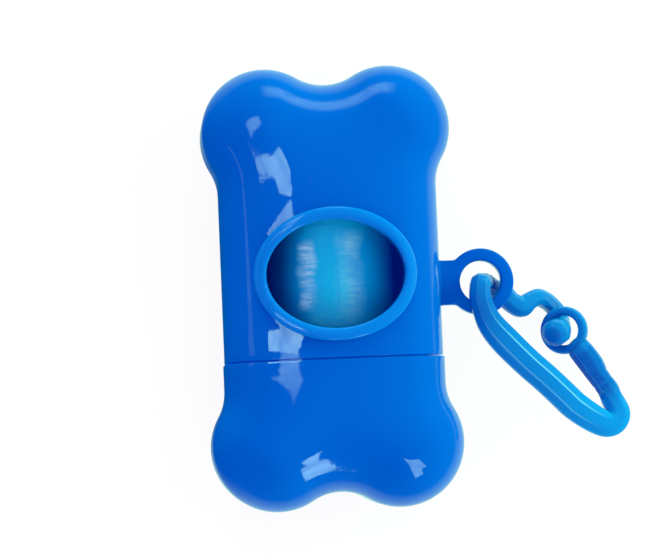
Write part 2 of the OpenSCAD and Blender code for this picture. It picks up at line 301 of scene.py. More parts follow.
def make_object(name: str, bm: bmesh.types.BMesh, sharp_deg: float = 42.0) -> bpy.types.Object:
    """Turn a mesh under construction into a smooth-shaded object.

    Args:
        name: Name of the piece.
        bm: The mesh in millimetres, which is used up.
        sharp_deg: Edges that turn by more than this stay sharp.

    Returns:
        The new object, in metres.
    """
    bmesh.ops.remove_doubles(bm, verts=bm.verts, dist=1e-4)
    bmesh.ops.recalc_face_normals(bm, faces=bm.faces)
    bmesh.ops.scale(bm, vec=(MM, MM, MM), verts=bm.verts)
    for face in bm.faces:
        face.smooth = True
    limit = math.radians(sharp_deg)
    for edge in bm.edges:
        edge.smooth = len(edge.link_faces) == 2 and edge.calc_face_angle(0.0) < limit
    mesh = bpy.data.meshes.new(name)
    bm.to_mesh(mesh)
    bm.free()
    return new_object(name, mesh)


@dataclass(frozen=True)
class BoneForm:
    """Outline and sections of the casing, by the same sizes as the construction.

    The plan has four lobes, hollow dips at the ends and flares into a straight waist.
    """

    length: float
    width: float
    depth: float
    waist: float = 41.3
    lobe_r: float = 12.0
    end_dip: float = 3.35
    waist_r: float = 10.0
    front_r: float = 11.0
    back_r: float = 9.0
    slope: float = math.radians(13)
    wall: float = 1.8
    cell: float = 0.5
    back_flat: float = 0.6
    window_margin: float = 0.5

    @cached_property
    def lobe(self) -> np.ndarray:
        """Middle of the upper right lobe."""
        return np.array([self.width / 2 - self.lobe_r, self.length / 2 - self.lobe_r])

    @cached_property
    def dip(self) -> tuple[np.ndarray, float]:
        """Place the hollow at the upper end.

        Returns:
            Its middle and its radius.
        """
        top = self.length / 2 - self.end_dip
        rise = top - self.lobe[1]
        radius = (self.lobe[0] ** 2 + rise**2 - self.lobe_r**2) / (2 * (self.lobe_r - rise))
        return np.array([0.0, top + radius]), radius

    @cached_property
    def flare(self) -> np.ndarray:
        """Place the arc that leads from the upper right lobe into the waist.

        Returns:
            Its middle.
        """
        x = self.waist / 2 + self.waist_r
        drop = math.sqrt((self.lobe_r + self.waist_r) ** 2 - (x - self.lobe[0]) ** 2)
        return np.array([x, self.lobe[1] - drop])

    @cached_property
    def turns(self) -> tuple[float, float]:
        """Measure how far the dip and the flare reach round.

        Returns:
            Their angles, in radians.
        """
        dip = math.atan2(self.lobe[0], self.dip[0][1] - self.lobe[1])
        flare = math.atan2(self.lobe[1] - self.flare[1], self.flare[0] - self.lobe[0])
        return dip, flare

    def outline(self, inset: float) -> np.ndarray:
        """Lay the plan outline, moved inwards.

        Args:
            inset: Distance inwards from the outer skin.

        Returns:
            Closed loop of plan points, clockwise from the upper dip.
        """
        dip_turn, flare_turn = self.turns
        quarter = np.concatenate([
            arc(self.dip[0], self.dip[1] + inset, -math.pi / 2, dip_turn - math.pi / 2, 14),
            arc(self.lobe, self.lobe_r - inset, math.pi / 2 + dip_turn, -flare_turn, 56),
            arc(self.flare, self.waist_r + inset, math.pi - flare_turn, math.pi, 14),
        ])
        side = np.linspace(self.flare[1], -self.flare[1], 30)
        straight = np.stack([np.full(30, self.waist / 2 - inset), side], axis=1)
        right = np.concatenate([quarter, straight, (quarter * [1, -1])[:0:-1]])
        bottom = [[0.0, inset - self.length / 2 + self.end_dip]]
        return np.concatenate([right, bottom, (right * [-1, 1])[:0:-1]])

    def distance(self, x: np.ndarray, y: np.ndarray) -> np.ndarray:
        """Measure how far plan points lie inside the outer skin.

        Args:
            x: Places across.
            y: Places along.

        Returns:
            Distances, positive inside.
        """
        p = np.stack([np.abs(x), np.abs(y)], axis=-1)
        dip_turn, flare_turn = self.turns
        to_lobe, to_flare, to_dip = p - self.lobe, p - self.flare, p - self.dip[0]
        lobe_at = np.arctan2(to_lobe[..., 1], to_lobe[..., 0])
        on_lobe = (lobe_at > -flare_turn) & (lobe_at < math.pi / 2 + dip_turn)
        on_dip = np.arctan2(p[..., 0], -to_dip[..., 1]) < dip_turn
        over_flare = -to_flare[..., 0] * math.tan(flare_turn) > to_flare[..., 1]
        on_flare = (p[..., 1] > self.flare[1]) & over_flare
        far = np.full(p.shape[:-1], np.inf)
        return np.min([
            np.where(on_lobe, self.lobe_r - np.linalg.norm(to_lobe, axis=-1), far),
            np.where(on_dip, np.linalg.norm(to_dip, axis=-1) - self.dip[1], far),
            np.where(on_flare, np.linalg.norm(to_flare, axis=-1) - self.waist_r, far),
            np.where(p[..., 1] <= self.flare[1], self.waist / 2 - p[..., 0], far),
        ], axis=0)

    @cached_property
    def edge_z(self) -> float:
        """Height of the middle of the rounded front edge."""
        half = self.waist / 2 - self.front_r + self.front_r * math.sin(self.slope)
        return self.depth - self.front_r * math.cos(self.slope) - half * math.tan(self.slope) / 2

    @cached_property
    def edge_inset(self) -> float:
        """Distance inwards at which the rounded edge meets the arch of the front."""
        return self.front_r * (1 - math.sin(self.slope))

    def rounding(self, inside: np.ndarray) -> np.ndarray:
        """Height of the rounded front edge at a distance inside the outer skin."""
        short = self.front_r - np.clip(inside, 0, self.front_r)
        return self.edge_z + np.sqrt(self.front_r**2 - short**2)

    @cached_property
    def front_grid(self) -> np.ndarray:
        """Lay one quarter of the front on a square grid, bent as little as can be.

        Returns:
            Heights by steps across and along. The highest is the casing's depth.
        """
        across, along = int(self.width / 2 / self.cell) + 3, int(self.length / 2 / self.cell) + 3
        x, y = np.meshgrid(np.arange(across) * self.cell, np.arange(along) * self.cell, indexing="ij")
        inside = self.distance(x, y)
        height = self.rounding(inside)
        free = np.argwhere(inside > self.edge_inset)
        number = {tuple(at): n for n, at in enumerate(free)}
        stencil = {(0, 0): 20, (1, 0): -8, (0, 1): -8, (1, 1): 2, (1, -1): 2, (2, 0): 1, (0, 2): 1}
        stencil.update({(-i, -j): w for (i, j), w in list(stencil.items())})
        matrix, known = np.zeros((len(free), len(free))), np.zeros(len(free))
        for (i, j), n in number.items():
            for (di, dj), weight in stencil.items():
                at = (abs(i + di), abs(j + dj))
                if at in number:
                    matrix[n, number[at]] += weight
                else:
                    known[n] -= weight * height[at]
        plain, load = np.linalg.solve(matrix, np.column_stack([known, np.ones(len(free))])).T
        crest = plain.argmax()
        height[tuple(free.T)] = plain + load * (self.depth - plain[crest]) / load[crest]
        return height

    def front_height(self, x: np.ndarray, y: np.ndarray) -> np.ndarray:
        """Give the height of the outer front.

        Args:
            x: Places across.
            y: Places along.

        Returns:
            Heights over the ground.
        """
        u, v = np.abs(x) / self.cell, np.abs(y) / self.cell
        i, j = u.astype(int), v.astype(int)
        s, t = u - i, v - j
        grid = self.front_grid
        inner = (grid[i, j] * (1 - s) * (1 - t) + grid[i + 1, j] * s * (1 - t)
                 + grid[i, j + 1] * (1 - s) * t + grid[i + 1, j + 1] * s * t)
        inside = self.distance(x, y)
        return np.where(inside > self.edge_inset, inner, self.rounding(inside))

    def section(self, inset: float, steps: int = 14) -> np.ndarray:
        """Lay the closed section of the straight waist, moved inwards.

        Args:
            inset: Distance inwards from the outer skin.
            steps: Points on each rounded edge.

        Returns:
            Closed loop of points across and up.
        """
        back, front, half = self.back_r - inset, self.front_r - inset, self.waist / 2
        low = arc((half - self.back_r, self.back_r), back, -math.pi / 2, 0, steps)
        high = arc((half - self.front_r, self.edge_z), front, 0, math.pi / 2 - self.slope, steps)
        reach = half - self.front_r + front * math.sin(self.slope)
        share = np.linspace(1, 0, steps, endpoint=False)
        foot, rise = self.edge_z + front * math.cos(self.slope), reach * math.tan(self.slope) / 2
        crown = np.stack([reach * share, foot + rise * (1 - share**2)], axis=1)
        right = np.concatenate([low, high, crown])
        return np.concatenate([[[0.0, inset]], right, [[0.0, foot + rise]], right[::-1] * [-1, 1]])

    def levels(self, inset: float) -> tuple[list, list]:
        """Give the rings that round the edges of one skin.

        Args:
            inset: Distance inwards from the outer skin.

        Returns:
            Inset and height of each ring, from the flat back up, and of those of the front edge.
        """
        back, front = self.back_r - inset, self.front_r - inset
        low = [(self.back_r + self.back_flat, inset)]
        low += [(inset + back * (1 - math.sin(a)), inset + back * (1 - math.cos(a)))
                for a in np.linspace(0, math.pi / 2, 15)]
        high = [(inset + front * (1 - math.cos(a)), self.edge_z + front * math.sin(a))
                for a in np.linspace(0, math.pi / 2 - self.slope, 19)]
        return low, high

    def free_points(self, rings: Sequence[tuple[float, float]], window: np.ndarray,
                    spacing: float) -> np.ndarray:
        """Lay the plan points of the front that belong to no whole ring.

        Args:
            rings: Inset and height of the rings that the window cuts.
            window: Closed plan outline of the window's cut.
            spacing: Distance between the points.

        Returns:
            Plan points clear of the window.
        """
        margin = spacing * GRID_MARGIN
        corner = np.array([self.width, self.length]) / 2
        grid = grid_points(-corner, corner, spacing)
        grid = grid[self.distance(grid[:, 0], grid[:, 1]) > rings[-1][0] + margin]
        free = np.concatenate([*[self.outline(ring_inset) for ring_inset, _ in rings], grid])
        middle = window.mean(axis=0)
        half = np.abs(window - middle).max(axis=0)
        return free[np.linalg.norm((free - middle) / (half + margin), axis=1) > 1]

    def skin_height(self, plan: np.ndarray, inset: float, top: tuple[float, float]) -> np.ndarray:
        """Give the height of the front of one skin.

        Args:
            plan: Plan points.
            inset: Distance inwards from the outer skin.
            top: Inset and height of the ring where the rounded edge ends.

        Returns:
            Heights over the ground.
        """
        front, (top_inset, top_z) = self.front_r - inset, top
        depth = self.distance(plan[:, 0], plan[:, 1])
        short = front - np.clip(depth - inset, 0, front)
        sunk = float(self.rounding(np.array(top_inset))) - top_z
        return np.where(depth > top_inset, self.front_height(plan[:, 0], plan[:, 1]) - sunk,
                        self.edge_z + np.sqrt(front**2 - short**2))

    def skin(self, inset: float, window: np.ndarray, spacing: float) -> bmesh.types.BMesh:
        """Build one skin of the whole casing with its window.

        Args:
            inset: Distance inwards from the outer skin.
            window: Closed plan outline of the window's cut.
            spacing: Distance between the points of the front.

        Returns:
            A mesh that is closed but for the window.
        """
        low, high = self.levels(inset)
        clear = self.waist / 2 - float(np.abs(window[:, 0]).max()) - self.window_margin
        whole = [level for level in high if level[0] < clear]
        rings = []
        for ring_inset, z in low + whole:
            plan = self.outline(ring_inset)
            rings.append(np.column_stack([plan, np.full(len(plan), z)]))
        columns = len(rings[0])
        bm = bmesh.new()
        verts = add_points(bm, np.concatenate(rings), band_faces(len(rings), columns))
        bm.faces.new(verts[:columns])
        free = self.free_points(high[len(whole):], window, spacing)
        plan, faces = fill_flat(self.outline(whole[-1][0]), window, free)
        heights = self.skin_height(plan, inset, high[-1])
        heights[:columns] = whole[-1][1]
        add_points(bm, np.column_stack([plan, heights]), faces)
        bmesh.ops.remove_doubles(bm, verts=bm.verts, dist=1e-3)
        return bm


@dataclass(frozen=True)
class Window:
    """Oval window of the casing and the raised rim that is snapped into it."""

    width: float = 26.0
    height: float = 20.3
    y: float = 1.9
    rim_w: float = 2.35
    rim_h: float = 1.35
    neck_t: float = 1.0
    fit: float = 0.08
    steps: int = 180

    def outline(self, out: float) -> np.ndarray:
        """Lay the oval, moved outwards.

        Args:
            out: Distance outwards from the opening.

        Returns:
            Closed loop of plan points.
        """
        a = np.linspace(0, 2 * math.pi, self.steps, endpoint=False)
        point = np.stack([self.width / 2 * np.cos(a), self.height / 2 * np.sin(a)], axis=1)
        normal = unit(np.stack([self.height * np.cos(a), self.width * np.sin(a)], axis=1))
        return point + normal * out + [0, self.y]

    def rim_section(self, wall: float) -> np.ndarray:
        """Lay the rim's section.

        Args:
            wall: Thickness of the shell that the rim is snapped into.

        Returns:
            Distances out from the opening and heights over the skin.
        """
        under, tip, barb, bevel, side = -wall - 0.35, -wall - 1.0, 0.25, 0.32, self.rim_h * 0.42
        a = np.linspace(0, math.pi, 25)
        top = np.stack([
            self.rim_w * (1 + np.sign(np.cos(a)) * np.abs(np.cos(a)) ** 0.85) / 2,
            side + (self.rim_h - side) * np.sin(a) ** 0.85], axis=1)
        neck = np.array([
            [0.0, tip + 0.2],
            [0.2, tip],
            [self.neck_t, tip],
            [self.neck_t + barb, under - 0.3],
            [self.neck_t + barb, under],
            [self.neck_t, under],
            [self.neck_t, self.fit],
            [self.rim_w - bevel, self.fit],
            [self.rim_w, self.fit + bevel]])
        return np.concatenate([neck, top])

    def build_rim(self, form: BoneForm) -> bpy.types.Object:
        """Sweep the rim's section round the oval.

        Args:
            form: The casing, whose front the rim follows.

        Returns:
            The rim.
        """
        rows = []
        for out, height in self.rim_section(form.wall):
            plan = self.outline(out)
            rows.append(np.column_stack([plan, form.front_height(plan[:, 0], plan[:, 1]) + height]))
        bm = bmesh.new()
        add_points(bm, np.concatenate(rows), band_faces(len(rows), self.steps, wrap_rows=True))
        return make_object("rim_ring", bm)


@dataclass(frozen=True)
class HangingEye:
    """Flat eye on a short stem at the side of the casing."""

    od: float = 12.8
    bore: float = 8.0
    thick: float = 3.0
    reach: float = 8.3
    y: float = 0.2
    stem_w: float = 8.6
    blend: float = 1.6
    root_r: float = 1.1
    edge_r: float = 0.45
    sunk: float = 1.08

    def spread(self, x: np.ndarray) -> np.ndarray:
        """Widening of the stem's root where it runs into the wall."""
        near = np.clip(x + self.reach, 0, self.root_r)
        return self.root_r - np.sqrt(self.root_r**2 - (self.root_r - near) ** 2)

    def outline(self, inset: float) -> np.ndarray:
        """Lay the outline of ring and stem round the middle of the hole.

        Args:
            inset: Distance inwards from the full outline.

        Returns:
            Closed loop of plan points from the root of the stem.
        """
        ring, corner_y = self.od / 2, self.stem_w / 2 + self.blend
        corner_x = math.sqrt((ring + self.blend) ** 2 - corner_y**2)
        touch = math.atan2(corner_y, corner_x)
        root = np.linspace(-self.reach - self.sunk, -self.reach + self.root_r, 12, endpoint=False)
        half = self.stem_w / 2 - inset + self.spread(root)
        stem = np.stack([root, half], axis=1)
        hollow = arc((-corner_x, corner_y), self.blend + inset, -math.pi / 2, -touch, 10)
        upper = arc((0, 0), ring - inset, math.pi - touch, 0, 48)
        half_loop = np.concatenate([stem, hollow, upper])
        tip = [[ring - inset, 0.0]]
        return np.concatenate([half_loop, tip, (half_loop * [1, -1])[::-1]])

    def add_to(self, bm: bmesh.types.BMesh, centre: np.ndarray) -> None:
        """Add the eye as a closed solid.

        Args:
            bm: The mesh that it joins.
            centre: Middle of the hole.
        """
        a = np.linspace(0, math.pi / 2, 6)
        quarter = np.stack([self.edge_r * (1 - np.sin(a)),
                            self.thick / 2 - self.edge_r * (1 - np.cos(a))], axis=1)
        profile = np.concatenate([quarter, (quarter * [1, -1])[::-1]])
        circle = arc((0, 0), 1.0, 0, 2 * math.pi, 72)
        outer, inner = [], []
        for inset, z in profile:
            plan = self.outline(inset)
            lift = np.sign(z) * self.spread(plan[:, 0]) * abs(z) / (self.thick / 2)
            outer.append(np.column_stack([plan, z + lift]))
            hole = circle * (self.bore / 2 + inset)
            inner.append(np.column_stack([hole, np.full(len(hole), z)]))
        for rows in (outer, inner):
            add_points(bm, np.concatenate(rows) + centre, band_faces(len(rows), len(rows[0])))
        for rim_outer, rim_inner in ((outer[0], inner[0]), (outer[-1], inner[-1])):
            plan, faces = fill_flat(rim_outer[:, :2], rim_inner[:, :2], None)
            heights = np.sign(rim_outer[0, 2]) * (self.thick / 2 + self.spread(plan[:, 0]))
            add_points(bm, np.column_stack([plan, heights]) + centre, faces)


@dataclass(frozen=True)
class Casing:
    """The two halves of the shell: the housing with window, neck and eye, and the cap."""

    form: BoneForm
    window: Window
    eye: HangingEye
    seam_y: float
    gap: float = 0.24
    lip: float = 0.25
    neck_l: float = 4.2
    neck_t: float = 1.2
    fit: float = 0.15
    foot_l: float = 2.6
    foot_rise: float = 0.4
    foot_grip: float = 0.3
    neck_r: float = 0.3
    edge_r: float = 0.12
    # Painted glow share along the seam's cut edge and on the neck, which keeps the seam gap from going black
    seam_painted_glow: float = 3.0
    outer_cell: float = 0.7
    inner_cell: float = 2.0

    def cut(self, bm: bmesh.types.BMesh, y: float, keep: Side) -> list:
        """Cut a skin straight across and keep one side.

        Args:
            bm: The skin.
            y: Place of the cut along the casing.
            keep: Side that stays.

        Returns:
            The vertices along the cut, in order.
        """
        geometry = [*bm.verts, *bm.edges, *bm.faces]
        bmesh.ops.bisect_plane(bm, geom=geometry, dist=1e-5, plane_co=(0, y, 0),
                               plane_no=(0, keep.value, 0), clear_inner=True)
        bmesh.ops.remove_doubles(bm, verts=bm.verts, dist=1e-3)
        edges = [e for e in bm.edges if e.is_boundary and all(abs(v.co.y - y) < 1e-3 for v in e.verts)]
        return edge_loop(edges)

    def roll_edge(self, bm: bmesh.types.BMesh, loop: Sequence, keep: Side) -> list:
        """Round the outer corner of a cut edge.

        Args:
            bm: The skin.
            loop: Vertices along its cut, in order.
            keep: Side on which the skin lies.

        Returns:
            The vertices at the end of the rounding, in order.
        """
        points = np.array([v.co for v in loop])
        along = np.roll(points, -1, axis=0) - np.roll(points, 1, axis=0)
        outward = unit(np.column_stack([along[:, 2], np.zeros(len(loop)), -along[:, 0]]))
        if np.sum(outward * (points - points.mean(axis=0))) < 0:
            outward = -outward
        row = list(loop)
        for a in np.linspace(0, math.pi / 2, 6)[1:]:
            moved = points - outward * self.edge_r * (1 - math.cos(a))
            moved[:, 1] -= keep.value * self.edge_r * math.sin(a)
            fresh = [bm.verts.new(p) for p in moved]
            for k in range(len(row)):
                n = (k + 1) % len(row)
                bm.faces.new([row[k], row[n], fresh[n], fresh[k]])
            row = fresh
        return row

    def shell(self, keep: Side) -> bmesh.types.BMesh:
        """Build one half of the shell from its two skins.

        Args:
            keep: The half above or below the seam.

        Returns:
            A closed mesh.
        """
        form, end = self.form, self.seam_y + keep.value * self.gap / 2
        opening = self.window.outline(self.window.neck_t + self.window.fit)
        bm = form.skin(0.0, opening, self.outer_cell)
        # Painted glow share of each point: 0 on the outer skin, 1 on the inner skin, more on the cut edge
        inside = bm.verts.layers.float.new(PAINTED_GLOW)
        if keep is Side.DOWN:
            bmesh.ops.recalc_face_normals(bm, faces=bm.faces)
            bm.normal_update()
            moves = [(v, v.normal.copy()) for v in bm.verts]
            for vert, normal in moves:
                vert.co += Vector((normal.x, normal.y, 0)) * self.lip
        outer = self.cut(bm, end + keep.value * self.edge_r, keep)
        outer = self.roll_edge(bm, outer, keep)
        for vert in outer:
            vert[inside] = self.seam_painted_glow
        inner_bm = form.skin(form.wall, opening, self.inner_cell)
        inner = self.cut(inner_bm, end, keep)
        inner_bm.verts.index_update()
        fresh = [bm.verts.new(v.co) for v in inner_bm.verts]
        for vert in fresh:
            vert[inside] = 1.0
        for face in inner_bm.faces:
            bm.faces.new([fresh[v.index] for v in face.verts])
        inner = [fresh[v.index] for v in inner]
        inner_bm.free()
        bmesh.ops.bridge_loops(bm, edges=loop_edges(bm, outer) + loop_edges(bm, inner))
        if keep is Side.UP:
            bmesh.ops.bridge_loops(bm, edges=[e for e in bm.edges if e.is_boundary])
        return bm

    def add_neck(self, bm: bmesh.types.BMesh) -> None:
        """Add the neck that the cap is pushed over, with the foot that holds it.

        Args:
            bm: The mesh that it joins.
        """
        outside, inside = self.form.wall + self.fit, self.form.wall + self.fit + self.neck_t
        end, foot = self.seam_y - self.neck_l, self.seam_y + self.gap / 2 + self.foot_rise
        grip, soft, corner = self.form.wall - self.foot_grip, self.neck_r, self.neck_r * 0.3
        profile = [
            (grip, foot),
            (outside, foot),
            (outside, end + soft),
            (outside + corner, end + corner),
            (outside + soft, end),
            (inside - soft, end),
            (inside - corner, end + corner),
            (inside, end + soft),
            (inside, foot + self.foot_l),
            (grip, foot + self.foot_l)]
        rows = []
        for inset, y in profile:
            flat = self.form.section(inset)
            rows.append(np.column_stack([flat[:, 0], np.full(len(flat), y), flat[:, 1]]))
        # The neck glows with the seam's painted glow
        shine = bm.verts.layers.float[PAINTED_GLOW]
        faces = band_faces(len(rows), len(rows[0]), wrap_rows=True)
        for vert in add_points(bm, np.concatenate(rows), faces):
            vert[shine] = self.seam_painted_glow

    @property
    def eye_centre(self) -> np.ndarray:
        """Middle of the hanging eye's hole."""
        return np.array([self.form.waist / 2 + self.eye.reach, self.eye.y, self.form.depth / 2])

    def build_housing(self) -> bpy.types.Object:
        """Build the upper shell with its neck and hanging eye.

        Returns:
            The shell.
        """
        bm = self.shell(Side.UP)
        self.add_neck(bm)
        self.eye.add_to(bm, self.eye_centre)
        return make_object("housing_shell", bm)

    def build_cap(self) -> bpy.types.Object:
        """Build the cap."""
        return make_object("cap_shell", self.shell(Side.DOWN))


@dataclass(frozen=True)
class BagRoll:
    """Film wound on its paper core, crinkled round the outside."""

    low: np.ndarray
    high: np.ndarray
    core_d: float = 14.1
    ripple: float = 0.11
    step: float = 0.16
    step_at: float = 0.045
    step_fades: float = 2.2
    waves: tuple[float, ...] = (0.35, 0.62, 0.97, 1.6, 2.5, 4.1)
    wave_pitch: float = 2.2
    wave_sum: float = 22.0
    creased: tuple[tuple[float, float, float], ...] = ((0.24, 0.16, 1.0), (-0.42, 0.1, 0.8))
    layer: float = 0.9
    groove: float = 0.12
    shoulder: float = 0.35
    edge_l: float = 0.5
    edge_in: float = 0.2
    side_sunk: float = 0.12
    end_sunk: float = 0.25
    around: int = 320
    along: int = 210
    end_rings: int = 26
    seed: int = 7

    @property
    def angles(self) -> np.ndarray:
        """Angles round the roll from its top."""
        return np.linspace(-math.pi, math.pi, self.around, endpoint=False)

    @property
    def radius(self) -> float:
        """Outer radius of the roll."""
        return (self.high[0] - self.low[0]) / 2

    @property
    def half(self) -> float:
        """Half the length of the roll."""
        return (self.high[1] - self.low[1]) / 2

    def crinkle(self, angle: np.ndarray, y: np.ndarray) -> np.ndarray:
        """Height of the film's creases over its wound surface.

        Args:
            angle: Angle round the roll from its top.
            y: Place along it.

        Returns:
            Heights, at most about one ripple.
        """
        rng = np.random.default_rng(self.seed)
        total = np.zeros(np.broadcast(angle, y).shape)
        for wave in self.waves:
            for _ in range(5):
                turn, lean, phase = rng.uniform(2, 9), rng.normal(0, 0.5), rng.uniform(0, 2 * math.pi)
                along = 2 * math.pi * y / (wave * self.wave_pitch)
                total += wave * np.sin(along + lean * np.sin(angle * round(turn)) * 2 + phase)
        bands = sum(share * np.exp(-((angle - at) / width) ** 2) for at, width, share in self.creased)
        return total / self.wave_sum * (0.25 + 0.75 * np.clip(bands, 0, 1))

    def end_row(self, radius: float, y: float) -> tuple[np.ndarray, np.ndarray]:
        """Lay one ring of a wound end, with the spiral groove between its layers.

        Args:
            radius: Radius of the ring.
            y: Place of the end along the roll.

        Returns:
            Radii and places along the roll.
        """
        groove = self.groove * np.sin(2 * math.pi * (radius / self.layer) + self.angles)
        return np.full(self.around, radius), y + groove

    def side_row(self, y: float) -> tuple[np.ndarray, np.ndarray]:
        """Lay one ring of the outside, with the step where the last bag ends.

        Args:
            y: Place of the ring along the roll.

        Returns:
            Radii and places along the roll.
        """
        past = self.angles - self.step_at
        step = self.step * np.clip(past / 0.02, 0, 1) * np.clip(1 - past / self.step_fades, 0, 1)
        crease = self.ripple * self.crinkle(self.angles, np.array(y))
        shrink = self.edge_in * max(0.0, 1 - (self.half - abs(y)) / self.edge_l) ** 2
        return (self.radius - self.step - self.ripple + step + crease - shrink,
                np.full(self.around, y))

    def build(self) -> bpy.types.Object:
        """Build the roll as one closed mesh round its axis.

        Returns:
            The roll, with its origin in its middle.
        """
        end_radii = np.linspace(self.core_d / 2, self.radius - self.shoulder, self.end_rings)
        end_y, side_y = self.half - self.end_sunk, self.half - self.side_sunk
        rows = [self.end_row(r, -end_y) for r in end_radii]
        rows += [self.side_row(y) for y in np.linspace(-side_y, side_y, self.along)]
        rows += [self.end_row(r, end_y) for r in end_radii[::-1]]
        turn = self.angles
        points = [np.column_stack([r * np.sin(turn), y, r * np.cos(turn)]) for r, y in rows]
        bm = bmesh.new()
        add_points(bm, np.concatenate(points), band_faces(len(rows), self.around, wrap_rows=True))
        roll = make_object("film_roll", bm, sharp_deg=60)
        roll.location = Vector((self.low + self.high) / 2 * MM)
        return roll


